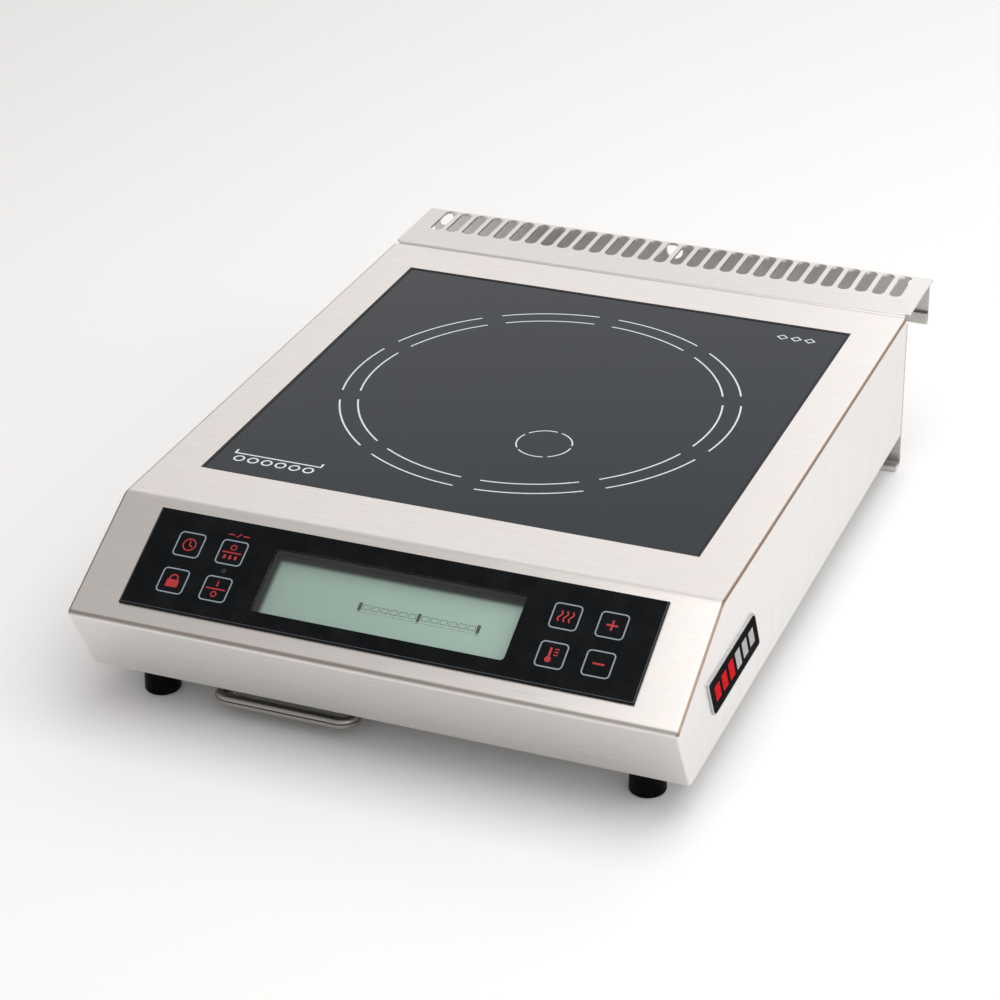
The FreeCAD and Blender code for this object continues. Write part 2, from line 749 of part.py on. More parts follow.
foot_screws = []
for name, (x, y) in foot_places.items():
    foot = Part.makeCone(foot_radius, foot_top_radius, foot_height, FreeCAD.Vector(x, y, 0))
    lower = [edge for edge in foot.Edges if edge.Closed and edge.BoundBox.ZMax < touch]
    foot = foot.makeFillet(foot_round, lower)
    foot = foot.cut(rod(foot_recess_radius, foot_recess_height, x, y, 0))
    foot = foot.cut(rod(screw_radius + screw_clearance, foot_height + 2 * over, x, y, -over))
    save(name, foot)
    foot_screws.append(pan_screw(x, y, foot_recess_height, downward,
                                 foot_height - foot_recess_height + screw_reach))
save("foot_screws", Part.makeCompound(foot_screws))

# ---- pull-out intake filter and its rails -----------------------------------------------------
filter_top = base_bottom - filter_drop
filter_bottom = filter_top - filter_height
frame = round_plate(filter_x, filter_y, filter_width, filter_depth, filter_corner,
                    filter_bottom, filter_top)
outer_edges = [edge for edge in frame.Edges if edge.BoundBox.ZLength < touch]
frame = frame.makeFillet(filter_round, outer_edges)
hole_corner = filter_corner - filter_rim
hole_x = filter_width - 2 * filter_rim
hole_y = filter_depth - 2 * filter_rim
well = round_plate(filter_x, filter_y, hole_x, hole_y, hole_corner, filter_bottom + filter_mesh_lift, top)
through = round_plate(filter_x, filter_y, hole_x - 2 * filter_ledge, hole_y - 2 * filter_ledge,
                      hole_corner - filter_ledge, -over, top)
save("filter_frame", frame.cut(well).cut(through))
mesh = round_plate(filter_x, filter_y, hole_x, hole_y, hole_corner, filter_bottom + filter_mesh_lift,
                   filter_bottom + filter_mesh_lift + filter_mesh_thickness)
save("filter_mesh", mesh)

rails = []
rail_y0 = heel_y + filter_front_offset + rail_start
for side in (-1, 1):
    wall = filter_x + side * (filter_width / 2 + rail_gap)
    low = filter_bottom - rail_gap - rail_sheet
    points = [
        (wall - side * rail_lip, low),
        (wall + side * rail_sheet, low),
        (wall + side * rail_sheet, base_bottom - rail_sheet),
        (wall + side * (rail_sheet + rail_flange), base_bottom - rail_sheet),
        (wall + side * (rail_sheet + rail_flange), base_bottom),
        (wall, base_bottom),
        (wall, low + rail_sheet),
        (wall - side * rail_lip, low + rail_sheet),
    ]
    wire = Part.makePolygon([FreeCAD.Vector(x, rail_y0, z) for x, z in points + points[:1]])
    rails.append(Part.Face(wire).extrude(FreeCAD.Vector(0, rail_length, 0)))
save("filter_rails", Part.makeCompound(rails))

# ---- control panel, window and keys -------------------------------------------------------------
panel_low = panel_mid - panel_height / 2
panel_high = panel_mid + panel_height / 2
face = block(-panel_width / 2, panel_width / 2, panel_low, panel_high, 0, panel_proud)
face_rim = [edge for edge in face.Edges if edge.BoundBox.ZMin > panel_proud - touch]
face = face.makeChamfer(panel_bevel, face_rim)
step_x = panel_width / 2 - panel_step - panel_fit
step_y = panel_height / 2 - panel_step - panel_fit
face = face.fuse(block(-step_x, step_x, panel_mid - step_y, panel_mid + step_y, -sheet, 0)).removeSplitter()
face = face.cut(round_plate(0, row_mid, window_width, window_height, window_corner,
                            -sheet - over, panel_proud + over))
key_places = {
    "key_timer": (-outer_key_x, upper_row),
    "key_minutes": (-inner_key_x, upper_row),
    "key_lock": (-outer_key_x, lower_row),
    "key_power": (-inner_key_x, lower_row),
    "key_heat": (inner_key_x, upper_row),
    "key_plus": (outer_key_x, upper_row),
    "key_temperature": (inner_key_x, lower_row),
    "key_minus": (outer_key_x, lower_row),
}
for x, y in key_places.values():
    hole = key_size + 2 * key_gap
    face = face.cut(round_plate(x, y, hole, hole, key_corner + key_gap, -sheet - over, panel_proud + over))
led_x = -inner_key_x
led_bore = sheet + panel_proud + 2 * over
face = face.cut(rod(led_radius + led_gap, led_bore, led_x, row_mid, -sheet - over))
save("control_panel", on_slope(face))

pane = round_plate(0, row_mid, window_width, window_height, window_corner, 0, panel_proud)
save("display_window", on_slope(pane))

rim_back = -sheet - key_gap
stem_end = board_top + switch_height + switch_button_height + key_travel + key_rest_gap
for name, (x, y) in key_places.items():
    cap = round_plate(x, y, key_size, key_size, key_corner, rim_back - key_flange_thickness, panel_proud)
    rim = key_size + 2 * key_flange
    cap = cap.fuse(round_plate(x, y, rim, rim, key_corner, rim_back - key_flange_thickness, rim_back))
    cap = cap.fuse(rod(key_stem_radius, rim_back - stem_end, x, y, stem_end))
    save(name, on_slope(cap.removeSplitter()))

# ---- display, its shroud and the key board -------------------------------------------------------
shroud_x = window_width + 2 * display_border
shroud_y = window_height + 2 * display_border
shroud_back = -display_depth - display_glass_thickness
shroud = round_plate(0, row_mid, shroud_x, shroud_y, shroud_corner, shroud_back, -sheet - shroud_gap)
shroud = shroud.cut(round_plate(0, row_mid, window_width + 2 * shroud_margin,
                                window_height + 2 * shroud_margin, window_corner + shroud_margin,
                                shroud_back - over, 0))
seat_x = shroud_x - 2 * shroud_rim
seat_y = shroud_y - 2 * shroud_rim
shroud = shroud.cut(round_plate(0, row_mid, seat_x, seat_y, seat_corner, shroud_back - over, -display_depth))
save("display_shroud", on_slope(shroud))
lcd = round_plate(0, row_mid, seat_x - 2 * seat_fit, seat_y - 2 * seat_fit, seat_corner - seat_fit,
                  shroud_back, -display_depth - seat_gap)
save("display_glass", on_slope(lcd))

board_half = step_x - board_margin
key_board = block(-board_half, board_half, panel_mid - step_y + board_edge, panel_mid + step_y - board_edge,
                  board_top - board_thickness, board_top)
save("display_board", on_slope(key_board))
switches = []
for x, y in key_places.values():
    body = round_plate(x, y, switch_size, switch_size, switch_corner, board_top, board_top + switch_height)
    button = rod(switch_button_radius, switch_button_height, x, y, board_top + switch_height)
    switches.append(on_slope(body.fuse(button).removeSplitter()))
save("key_switches", Part.makeCompound(switches))
led = rod(led_radius, panel_proud - led_sunk - board_top, led_x, row_mid, board_top)
save("power_led", on_slope(led))

# ---- badge ---------------------------------------------------------------------------------
badge_y = crest_y + badge_from_crest
badge_z = top - badge_below_top
badge_points = []
for along, up in ((-1, 1), (1, 1), (1, -1), (-1, -1)):
    badge_points.append((badge_y + along * badge_length / 2 - up * badge_slant / 2,
                         badge_z + up * badge_height / 2))
badge = side_prism(badge_points, [badge_sharp, badge_round, badge_sharp, badge_round],
                   half_width, half_width + badge_thickness)
badge_rim = [edge for edge in badge.Edges if edge.BoundBox.XMin > half_width + badge_thickness - touch]
save("side_badge", badge.makeFillet(badge_edge, badge_rim))

# ---- fan -----------------------------------------------------------------------------------
fan_bottom = body_bottom
fan_frame = round_plate(fan_x, fan_y, fan_size, fan_size, fan_corner, fan_bottom, fan_bottom + fan_height)
fan_frame = fan_frame.cut(rod(fan_duct_radius, fan_height + 2 * over, fan_x, fan_y, fan_bottom - over))
spider = [rod(fan_hub_radius, fan_spider, fan_x, fan_y, fan_bottom)]
for i in range(4):
    arm = block(0, fan_duct_radius + fan_arm_reach, -fan_arm_width / 2, fan_arm_width / 2, 0, fan_spider)
    arm.rotate(FreeCAD.Vector(0, 0, 0), FreeCAD.Vector(0, 0, 1), 90 * i + 45)
    arm.translate(FreeCAD.Vector(fan_x, fan_y, fan_bottom))
    spider.append(arm)
fan_frame = fuse([fan_frame] + spider)
fan_frame = fan_frame.fuse(rod(shaft_radius + bush_wall, bush_depth, fan_x, fan_y, fan_bottom))
fan_frame = fan_frame.cut(rod(shaft_radius + shaft_clearance, bush_depth + 2 * over, fan_x, fan_y,
                              fan_bottom - over))
fan_hole = fan_hole_spacing / 2
fan_holes = [(fan_x + a * fan_hole, fan_y + b * fan_hole) for a in (-1, 1) for b in (-1, 1)]
for x, y in fan_holes:
    fan_frame = fan_frame.cut(rod(screw_radius, fan_height + 2 * over, x, y, fan_bottom - over))
save("fan_frame", fan_frame.removeSplitter())
fan_top = fan_bottom + fan_height
fan_screws = []
for x, y in fan_holes:
    shank = rod(screw_radius, fan_screw_length, x, y, fan_top - fan_screw_length)
    fan_screws.append(shank.fuse(rod(screw_head_radius, screw_head_height, x, y, fan_top)))
save("fan_screws", Part.makeCompound(fan_screws))

rotor_bottom = fan_bottom + fan_spider + fan_rotor_gap
rotor_height = fan_top - fan_rotor_sunk - rotor_bottom
hub = rod(fan_hub_radius, rotor_height, fan_x, fan_y, rotor_bottom)
hub = hub.cut(rod(fan_hub_radius - fan_hub_wall, rotor_height - fan_hub_wall, fan_x, fan_y, rotor_bottom))
shaft_bottom = rotor_bottom - fan_rotor_gap
blade_parts = [hub, rod(shaft_radius, rotor_bottom + rotor_height - shaft_bottom, fan_x, fan_y, shaft_bottom)]
tip = fan_duct_radius - fan_tip_gap
ring = rod(tip, rotor_height, fan_x, fan_y, rotor_bottom)
ring = ring.cut(rod(fan_hub_radius - fan_blade_root, rotor_height, fan_x, fan_y, rotor_bottom))
for i in range(fan_blades):
    blade = block(fan_hub_radius - over, tip + over, -fan_blade_chord / 2, fan_blade_chord / 2,
                  -fan_blade_thickness / 2, fan_blade_thickness / 2)
    blade.rotate(FreeCAD.Vector(0, 0, 0), FreeCAD.Vector(1, 0, 0), fan_blade_pitch)
    blade.rotate(FreeCAD.Vector(0, 0, 0), FreeCAD.Vector(0, 0, 1), 360 * i / fan_blades)
    blade.translate(FreeCAD.Vector(fan_x, fan_y, rotor_bottom + rotor_height / 2))
    blade_parts.append(blade.common(ring))
save("fan_rotor", fuse(blade_parts))

# ---- coil stack under the glass ----------------------------------------------------------------
mica_top = glass_bottom - glass_to_mica
coil_top = mica_top - mica_thickness
coil_bottom = coil_top - coil_height
carrier_bottom = coil_bottom - carrier_thickness
ferrite_bottom = carrier_bottom - ferrite_height
coil_plate_bottom = ferrite_bottom - coil_plate_thickness


def ring_plate(outer, inner, z0, z1):
    disc = rod(outer, z1 - z0, 0, glass_mid_y, z0)
    return disc.cut(rod(inner, z1 - z0 + 2 * over, 0, glass_mid_y, z0 - over))


save("mica_sheet", ring_plate(coil_radius + mica_rim, sensor_radius + sensor_clearance, coil_top, mica_top))

turn_width = (coil_radius - coil_hole_radius) / coil_turns
bevel = turn_width * coil_turn_bevel
outline = [FreeCAD.Vector(coil_hole_radius, 0, coil_bottom), FreeCAD.Vector(coil_radius, 0, coil_bottom)]
for i in range(coil_turns):
    r = coil_radius - i * turn_width
    outline.append(FreeCAD.Vector(r, 0, coil_top - bevel))
    outline.append(FreeCAD.Vector(r - bevel, 0, coil_top))
    outline.append(FreeCAD.Vector(r - turn_width + bevel, 0, coil_top))
outline.append(FreeCAD.Vector(coil_hole_radius, 0, coil_top - bevel))
outline.append(outline[0])
half_section = Part.Face(Part.makePolygon(outline))
winding = half_section.revolve(FreeCAD.Vector(0, 0, 0), FreeCAD.Vector(0, 0, 1), 360)
winding.translate(FreeCAD.Vector(0, glass_mid_y, 0))
save("coil_winding", winding)

carrier_hole = coil_hole_radius - carrier_lip
save("coil_carrier", ring_plate(coil_radius + carrier_rim, carrier_hole, carrier_bottom, coil_bottom))
ferrites = []
for i in range(ferrite_count):
    start = coil_hole_radius + ferrite_start
    bar = block(start, start + ferrite_length, -ferrite_width / 2, ferrite_width / 2,
                ferrite_bottom, carrier_bottom)
    bar.rotate(FreeCAD.Vector(0, 0, 0), FreeCAD.Vector(0, 0, 1), 360 * i / ferrite_count)
    bar.translate(FreeCAD.Vector(0, glass_mid_y, 0))
    ferrites.append(bar)
save("ferrite_bars", Part.makeCompound(ferrites))

coil_plate = round_plate(0, glass_mid_y, coil_plate_side, coil_plate_side, coil_plate_corner,
                         coil_plate_bottom, ferrite_bottom)
coil_plate_cut = coil_plate_thickness + 2 * over
coil_plate = coil_plate.cut(rod(coil_plate_hole, coil_plate_cut, 0, glass_mid_y, coil_plate_bottom - over))
posts = []
springs = []
for x, y in post_places():
    coil_plate = coil_plate.cut(rod(post_radius + post_clearance, coil_plate_cut, x, y,
                                    coil_plate_bottom - over))
    stem = rod(post_radius, ferrite_bottom + post_above - body_bottom, x, y, body_bottom)
    collar_height = coil_plate_bottom - spring_length - body_bottom
    posts.append(stem.fuse(rod(spring_radius, collar_height, x, y, body_bottom)).removeSplitter())
    spring_bottom = coil_plate_bottom - spring_length
    coil_spring = rod(spring_radius, spring_length, x, y, spring_bottom)
    springs.append(coil_spring.cut(rod(spring_radius - spring_wall, spring_length + 2 * over, x, y,
                                       spring_bottom - over)))
save("coil_plate", coil_plate)
save("coil_posts", Part.makeCompound(posts))
save("coil_springs", Part.makeCompound(springs))

sensor = rod(sensor_radius, glass_bottom - sensor_gap - coil_bottom, 0, glass_mid_y, coil_bottom)
sensor_flange = rod(carrier_hole - sensor_flange_fit, sensor_flange_height, 0, glass_mid_y,
                    coil_bottom - sensor_flange_height)
save("glass_sensor", sensor.fuse(sensor_flange).removeSplitter())

# ---- power board and what stands on it ---------------------------------------------------------
board_bottom = body_bottom + board_lift
board_face = board_bottom + board_thickness
power_board = round_plate(0, glass_mid_y, board_width, board_length, board_corner, board_bottom, board_face)
standoffs = []
for x, y in standoff_places():
    power_board = power_board.cut(rod(screw_radius, board_thickness + 2 * over, x, y, board_bottom - over))
    standoffs.append(rod(standoff_radius, board_lift, x, y, body_bottom))
save("power_board", power_board)
save("board_standoffs", Part.makeCompound(standoffs))

heatsink_top = coil_plate_bottom - heatsink_coil_gap
heatsink_x = fan_x + heatsink_aside
heatsink_y = glass_mid_y - heatsink_ahead
sink_parts = [block(-heatsink_width / 2, heatsink_width / 2, -heatsink_length / 2, heatsink_length / 2,
                    board_face, board_face + heatsink_base)]
fin_step = (heatsink_width - heatsink_fin) / (heatsink_fins - 1)
for i in range(heatsink_fins):
    x0 = -heatsink_width / 2 + i * fin_step
    sink_parts.append(block(x0, x0 + heatsink_fin, -heatsink_length / 2, heatsink_length / 2,
                            board_face, heatsink_top))
sink = fuse(sink_parts)
sink.translate(FreeCAD.Vector(heatsink_x, heatsink_y, 0))
save("heatsink", sink)

device_x = heatsink_x + heatsink_width / 2
devices = []
for step in (-1, 0, 1):
    y = heatsink_y + step * device_pitch
    devices.append(block(device_x, device_x + device_thickness, y - device_width / 2, y + device_width / 2,
                         board_face, board_face + device_height))
save("power_devices", Part.makeCompound(devices))

part_x = device_x + device_thickness + capacitor_aside
cap_x, cap_y, cap_z = capacitor_size
capacitors = []
for step in (-2, -1, 0):
    y = heatsink_y + step * capacitor_pitch
    capacitor = round_plate(part_x, y, cap_x, cap_y, capacitor_corner, board_face, board_face + cap_z)
    capacitors.append(capacitor)
save("film_capacitors", Part.makeCompound(capacitors))
choke_y = heatsink_y + choke_behind
choke = rod(choke_radius, choke_height, part_x, choke_y, board_face)
choke = choke.cut(rod(choke_hole_radius, choke_height + 2 * over, part_x, choke_y, board_face - over))
choke_rims = [edge for edge in choke.Edges if edge.Closed]
save("filter_choke", choke.makeFillet(choke_round, choke_rims))
size_x, size_y, size_z = transformer_size
standby_y = heatsink_y + heatsink_length / 2 + transformer_behind
standby = round_plate(heatsink_x, standby_y, size_x, size_y, transformer_corner,
                      board_face, board_face + size_z)
save("standby_transformer", standby)

block_x, block_y, block_z = terminal_size
terminal_x = gland_x + terminal_shift
terminal_y = back_y - terminal_gap - block_y
terminal = block(terminal_x - block_x / 2, terminal_x + block_x / 2, terminal_y, terminal_y + block_y,
                 body_bottom, body_bottom + block_z)
for i in range(terminal_ways):
    x = terminal_x + (i - (terminal_ways - 1) / 2) * block_x / terminal_ways
    terminal = terminal.cut(rod(terminal_well_radius, terminal_well_depth + over, x,
                                terminal_y + block_y / 2, body_bottom + block_z - terminal_well_depth))
save("terminal_block", terminal)

# ---- wiring that stays inside -------------------------------------------------------------------
turn = math.radians(slope_angle)
board_back = board_top - board_thickness
ribbon_y = crest_y + panel_mid * math.cos(turn) - board_back * math.sin(turn)
ribbon_z = top + panel_mid * math.sin(turn) + board_back * math.cos(turn)
board_front = glass_mid_y - board_length / 2
path = [
    (ribbon_y + wire_gap, ribbon_z - ribbon_tuck),
    (ribbon_y + ribbon_fall[0], ribbon_z - ribbon_fall[1]),
    (board_front - ribbon_rest[0], board_face + ribbon_rest[1]),
    (board_front + ribbon_entry[0], board_face + ribbon_entry[1]),
    (board_front + ribbon_entry[0], board_face + wire_gap),
]
save("display_ribbon", bent_sheet(path, ribbon_thickness, ribbon_bend, ribbon_x, ribbon_x + ribbon_width))


def lead(points, radius, bend):
    """A round lead along straight runs joined by arcs, in the plane of constant Y."""
    edges = []
    start = points[0]
    for i in range(1, len(points)):
        if i == len(points) - 1:
            edges.append(Part.LineSegment(start, points[i]).toShape())
            break
        to_before = (points[i - 1] - points[i]).normalize()
        to_after = (points[i + 1] - points[i]).normalize()
        half = to_before.getAngle(to_after) / 2
        entry = points[i] + to_before * (bend / math.tan(half))
        leave = points[i] + to_after * (bend / math.tan(half))
        middle = (to_before + to_after).normalize()
        crown = points[i] + middle * (bend / math.sin(half) - bend)
        edges.append(Part.LineSegment(start, entry).toShape())
        edges.append(Part.Arc(entry, crown, leave).toShape())
        start = leave
    spine = Part.Wire(edges)
    section = Part.Wire(Part.makeCircle(radius, points[0], points[1] - points[0]))
    return spine.makePipeShell([section], True, False)


lead_reach = coil_plate_side / 2 + lead_outside
lead_z = coil_bottom + lead_radius + lead_gap
lead_foot = board_width / 2 - lead_foot_inset
leads = []
for offset in (-lead_spacing, lead_spacing):
    y = glass_mid_y + offset
    points = [
        FreeCAD.Vector(coil_radius + lead_gap, y, lead_z),
        FreeCAD.Vector(lead_reach, y, lead_z),
        FreeCAD.Vector(lead_reach, y, board_face + lead_height),
        FreeCAD.Vector(lead_foot, y, board_face + lead_height),
        FreeCAD.Vector(lead_foot, y, board_face + wire_gap),
    ]
    leads.append(lead(points, lead_radius, lead_bend))
save("coil_leads", Part.makeCompound(leads))
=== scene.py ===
import json
import math

import bpy
from mathutils import Matrix, Vector

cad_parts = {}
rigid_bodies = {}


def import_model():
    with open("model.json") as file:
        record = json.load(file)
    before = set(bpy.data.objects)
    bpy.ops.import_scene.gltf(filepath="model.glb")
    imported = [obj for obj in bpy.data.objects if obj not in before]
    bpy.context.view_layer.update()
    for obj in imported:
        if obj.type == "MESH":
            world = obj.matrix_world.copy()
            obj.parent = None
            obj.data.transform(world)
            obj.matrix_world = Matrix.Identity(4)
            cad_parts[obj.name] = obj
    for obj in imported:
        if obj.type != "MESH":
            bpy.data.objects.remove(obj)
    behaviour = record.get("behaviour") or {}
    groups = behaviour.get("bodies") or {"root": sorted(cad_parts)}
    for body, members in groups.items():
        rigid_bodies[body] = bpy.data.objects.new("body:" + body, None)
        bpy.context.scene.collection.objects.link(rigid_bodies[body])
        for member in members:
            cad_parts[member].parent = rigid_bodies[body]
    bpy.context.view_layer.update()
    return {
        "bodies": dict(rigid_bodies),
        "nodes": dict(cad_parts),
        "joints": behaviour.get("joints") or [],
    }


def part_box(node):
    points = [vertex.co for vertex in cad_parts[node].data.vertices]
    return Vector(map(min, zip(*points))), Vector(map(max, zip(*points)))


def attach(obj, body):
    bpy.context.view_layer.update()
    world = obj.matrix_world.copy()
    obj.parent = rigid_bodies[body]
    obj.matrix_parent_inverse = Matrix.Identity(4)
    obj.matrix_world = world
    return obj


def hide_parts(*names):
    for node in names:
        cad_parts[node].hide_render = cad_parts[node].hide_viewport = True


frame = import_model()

mm = 0.001


# ---- studio: camera, floor and lights ------------------------------------------------------------
# The hob stands on a plain white floor, seen from its front right corner and from above.
# Soft boxes hang overhead to the right and behind it, and a pale room lights the rest.
def aimed(thing, place, forward, up):
    """Puts a camera or a light at place, looking along forward."""
    back = -Vector(forward).normalized()
    right = Vector(up).cross(back).normalized()
    turn = Matrix((right, back.cross(right), back)).transposed().to_4x4()
    thing.matrix_world = Matrix.Translation(place) @ turn


lens = bpy.data.cameras.new("studio_camera")
lens.lens = 99.77
lens.sensor_width = 36
lens.shift_x = -0.0482
lens.shift_y = 0.0073
lens.clip_start = 0.05
camera = bpy.data.objects.new("studio_camera", lens)
bpy.context.scene.collection.objects.link(camera)
aimed(camera, (0.5247, -1.3194, 0.8114), (-0.32062, 0.81611, -0.48079), (-0.16615, 0.45126, 0.87679))
bpy.context.scene.camera = camera
bpy.context.scene.view_settings.view_transform = "Standard"


def soft_box(name, place, target, size_x, size_y, radiance, tint):
    """An area light of the given size whose face has the given radiance."""
    data = bpy.data.lights.new(name, "AREA")
    data.shape = "RECTANGLE"
    data.size = size_x
    data.size_y = size_y
    data.energy = radiance * math.pi * size_x * size_y
    data.color = tint
    box = bpy.data.objects.new(name, data)
    bpy.context.scene.collection.objects.link(box)
    aimed(box, place, Vector(target) - Vector(place), (0, 1, 0.2))


soft_box("overhead_box", (0.55, -0.15, 1.7), (0.35, -0.15, 0), 1.5, 1.6, 2.4, (1, 0.985, 0.975))
soft_box("back_screen", (-0.5, 2.9, 1.6), (0, 0, 0.1), 3.8, 2.8, 0.52, (1, 0.985, 0.98))
soft_box("back_box", (0.55, 2.3, 1.45), (0.1, 0, 0.1), 1.5, 1.6, 1.0, (1, 0.99, 0.985))
soft_box("right_box", (2.6, 0.3, 1.3), (0.2, 0, 0), 1.6, 1.4, 1.9, (1, 0.995, 0.99))
soft_box("front_box", (1.9, -1.8, 1.6), (0.6, -0.7, 0), 2.0, 1.8, 1.1, (1, 0.98, 0.965))

world = bpy.data.worlds.new("pale_room")
world.use_nodes = True
world.node_tree.nodes["Background"].inputs["Color"].default_value = (1.0, 0.95, 0.915, 1)
world.node_tree.nodes["Background"].inputs["Strength"].default_value = 0.52
bpy.context.scene.world = world


def put(tree, kind, sockets=(), **settings):
    """Adds a shader node, sets it up and fills or links its sockets."""
    made = tree.nodes.new("ShaderNode" + kind)
    for key, value in settings.items():
        setattr(made, key, value)
    for socket, value in dict(sockets).items():
        if isinstance(value, bpy.types.NodeSocket):
            tree.links.new(value, made.inputs[socket])
        else:
            made.inputs[socket].default_value = value
    return made


def paint(name, **sockets):
    """A material with one Principled shader; returns it with its tree and that shader."""
    made = bpy.data.materials.new(name)
    made.use_nodes = True
    shader = made.node_tree.nodes["Principled BSDF"]
    for key, value in sockets.items():
        shader.inputs[key.replace("_", " ")].default_value = value
    return made, made.node_tree, shader


def ramp(tree, factor, *stops):
    """A colour ramp with (position, grey or RGB) stops."""
    made = put(tree, "ValToRGB", {"Fac": factor})
    while len(made.color_ramp.elements) < len(stops):
        made.color_ramp.elements.new(0.5)
    for element, (position, shade) in zip(made.color_ramp.elements, stops):
        element.position = position
        element.color = (*shade, 1) if isinstance(shade, tuple) else (shade, shade, shade, 1)
    return made.outputs["Color"]


floor_paint, tree, shader = paint("floor_paint", Roughness=0.7, Emission_Strength=0.02)
cloud = put(tree, "TexNoise", {"Scale": 3.0, "Detail": 3.0}).outputs["Fac"]
colour = ramp(tree, cloud, (0.3, (0.85, 0.863, 0.873)), (0.7, (0.87, 0.883, 0.893)))
tree.links.new(colour, shader.inputs["Base Color"])
tree.links.new(colour, shader.inputs["Emission Color"])
floor_mesh = bpy.data.meshes.new("studio_floor")
floor_reach = 30.0
corners = [(x * floor_reach, y * floor_reach, 0) for x, y in ((-1, -1), (1, -1), (1, 1), (-1, 1))]
floor_mesh.from_pydata(corners, [], [(0, 1, 2, 3)])
floor_mesh.materials.append(floor_paint)
floor = bpy.data.objects.new("studio_floor", floor_mesh)
bpy.context.scene.collection.objects.link(floor)


# ---- folded cover ----------------------------------------------------------------------------------
# The body is one folded and welded sheet of satin stainless, 1.2 mm thick.  The grain runs
# across the top, the slope and the front, and upright on the sides; the side bends are tinted brown where
# they face up, and painted shade darkens the fold under the slope.
def finish(material, *nodes):
    """Gives CAD nodes this material in place of their plain one."""
    for name in nodes:
        mesh = frame["nodes"][name].data
        mesh.materials.clear()
        mesh.materials.append(material)


def mix_colour(tree, factor, first, second, mode="MIX"):
    """Colour mix node; its sockets go by number, since those of other kinds share their names."""
    made = put(tree, "Mix", data_type="RGBA", blend_type=mode)
    for socket, value in ((made.inputs[0], factor), (made.inputs[6], first), (made.inputs[7], second)):
        if isinstance(value, bpy.types.NodeSocket):
            tree.links.new(value, socket)
        elif isinstance(value, tuple):
            socket.default_value = (*value, 1)
        else:
            socket.default_value = value
    return made.outputs[2]


def mix_vector(tree, factor, first, second):
    made = put(tree, "Mix", data_type="VECTOR")
    tree.links.new(factor, made.inputs[0])
    tree.links.new(first, made.inputs[4])
    tree.links.new(second, made.inputs[5])
    return made.outputs[1]


def brushed(name, tint, roughness, grain=1.0, bend_tint=None, fold_shade_tint=None):
    """Satin sheet steel, with its grain along X, or upright where the face looks along X."""
    made, tree, shader = paint(name, Metallic=1.0)
    own = put(tree, "TexCoord").outputs["Object"]
    facing = put(tree, "NewGeometry").outputs["Normal"]
    split = put(tree, "SeparateXYZ", {"Vector": facing})
    across = split.outputs["X"]
    sideways = put(tree, "Math", {0: across}, operation="ABSOLUTE").outputs[0]
    is_side = put(tree, "Math", {0: sideways, 1: 0.75}, operation="GREATER_THAN").outputs[0]

    def streaks(fine, length):
        """Noise drawn out along the grain: fine lines per metre, and their number along a metre."""
        flat = put(tree, "Mapping", {"Vector": own, "Scale": (length, fine, fine)}).outputs[0]
        upright = put(tree, "Mapping", {"Vector": own, "Scale": (fine, fine, length)}).outputs[0]
        place = mix_vector(tree, is_side, flat, upright)
        noise = put(tree, "TexNoise", {"Vector": place, "Scale": 1.0, "Detail": 4.0, "Roughness": 0.6})
        return noise.outputs["Fac"]

    fine_lines = streaks(1500.0, 60.0)
    broad_lines = streaks(300.0, 14.0)
    cloud = put(tree, "TexNoise", {"Vector": own, "Scale": 38.0, "Detail": 3.0}).outputs["Fac"]
    darker = tuple(c * 0.94 for c in tint)
    lighter = tuple(min(1.0, c * 1.03) for c in tint)
    colour = ramp(tree, fine_lines, (0.3, darker), (0.52, tint), (0.72, lighter))
    band = ramp(tree, broad_lines, (0.3, 0.97), (0.7, 1.0))
    colour = mix_colour(tree, 1.0, colour, band, "MULTIPLY")
    mottle = ramp(tree, cloud, (0.35, (1.0, 0.98, 0.98)), (0.65, (0.975, 0.99, 0.975)))
    colour = mix_colour(tree, 1.0, colour, mottle, "MULTIPLY")
    # The bends along the two sides are tinted brown where they face up.
    if bend_tint:
        on_bend = ramp(tree, sideways, (0.08, 0.0), (0.3, 1.0), (0.86, 1.0), (0.985, 0.0))
        faces_up = ramp(tree, split.outputs["Z"], (0.0, 0.0), (0.12, 1.0))
        on_bend = mix_colour(tree, 1.0, on_bend, faces_up, "MULTIPLY")
        colour = mix_colour(tree, on_bend, colour, bend_tint)
    # Painted shade: the fold under the slope is darkened, most of all to the left.
    if fold_shade_tint:
        raised = put(tree, "MapRange", {0: split.outputs["Z"], 1: -1.0, 2: 1.0}).outputs[0]
        fold_shade_mask = ramp(tree, raised, (0.42, 0.0), (0.7, 1.0), (0.87, 1.0), (0.93, 0.0))
        flat_on = ramp(tree, sideways, (0.1, 1.0), (0.3, 0.0))
        fold_shade_mask = mix_colour(tree, 1.0, fold_shade_mask, flat_on, "MULTIPLY")
        right = put(tree, "SeparateXYZ", {"Vector": own}).outputs["X"]
        fading = put(tree, "MapRange", {0: right, 1: 0.0, 2: 0.17, 3: 1.0, 4: 0.3}).outputs[0]
        fold_shade_mask = mix_colour(tree, 1.0, fold_shade_mask, fading, "MULTIPLY")
        colour = mix_colour(tree, fold_shade_mask, colour, fold_shade_tint)
    tree.links.new(colour, shader.inputs["Base Color"])
    spread = ramp(tree, fine_lines, (0.3, roughness + 0.08), (0.7, roughness - 0.05))
    tree.links.new(spread, shader.inputs["Roughness"])
    bump = put(tree, "Bump", {"Height": fine_lines, "Strength": 0.09 * grain, "Distance": 0.0003})
    bump = put(tree, "Bump", {"Height": broad_lines, "Strength": 0.02 * grain, "Distance": 0.001,
                              "Normal": bump.outputs[0]})
    tree.links.new(bump.outputs[0], shader.inputs["Normal"])
    return made


satin_cover = brushed("satin_cover", (0.80, 0.785, 0.775), 0.33, bend_tint=(0.33, 0.25, 0.2),
                      fold_shade_tint=(0.42, 0.38, 0.36))
finish(satin_cover, "cover")
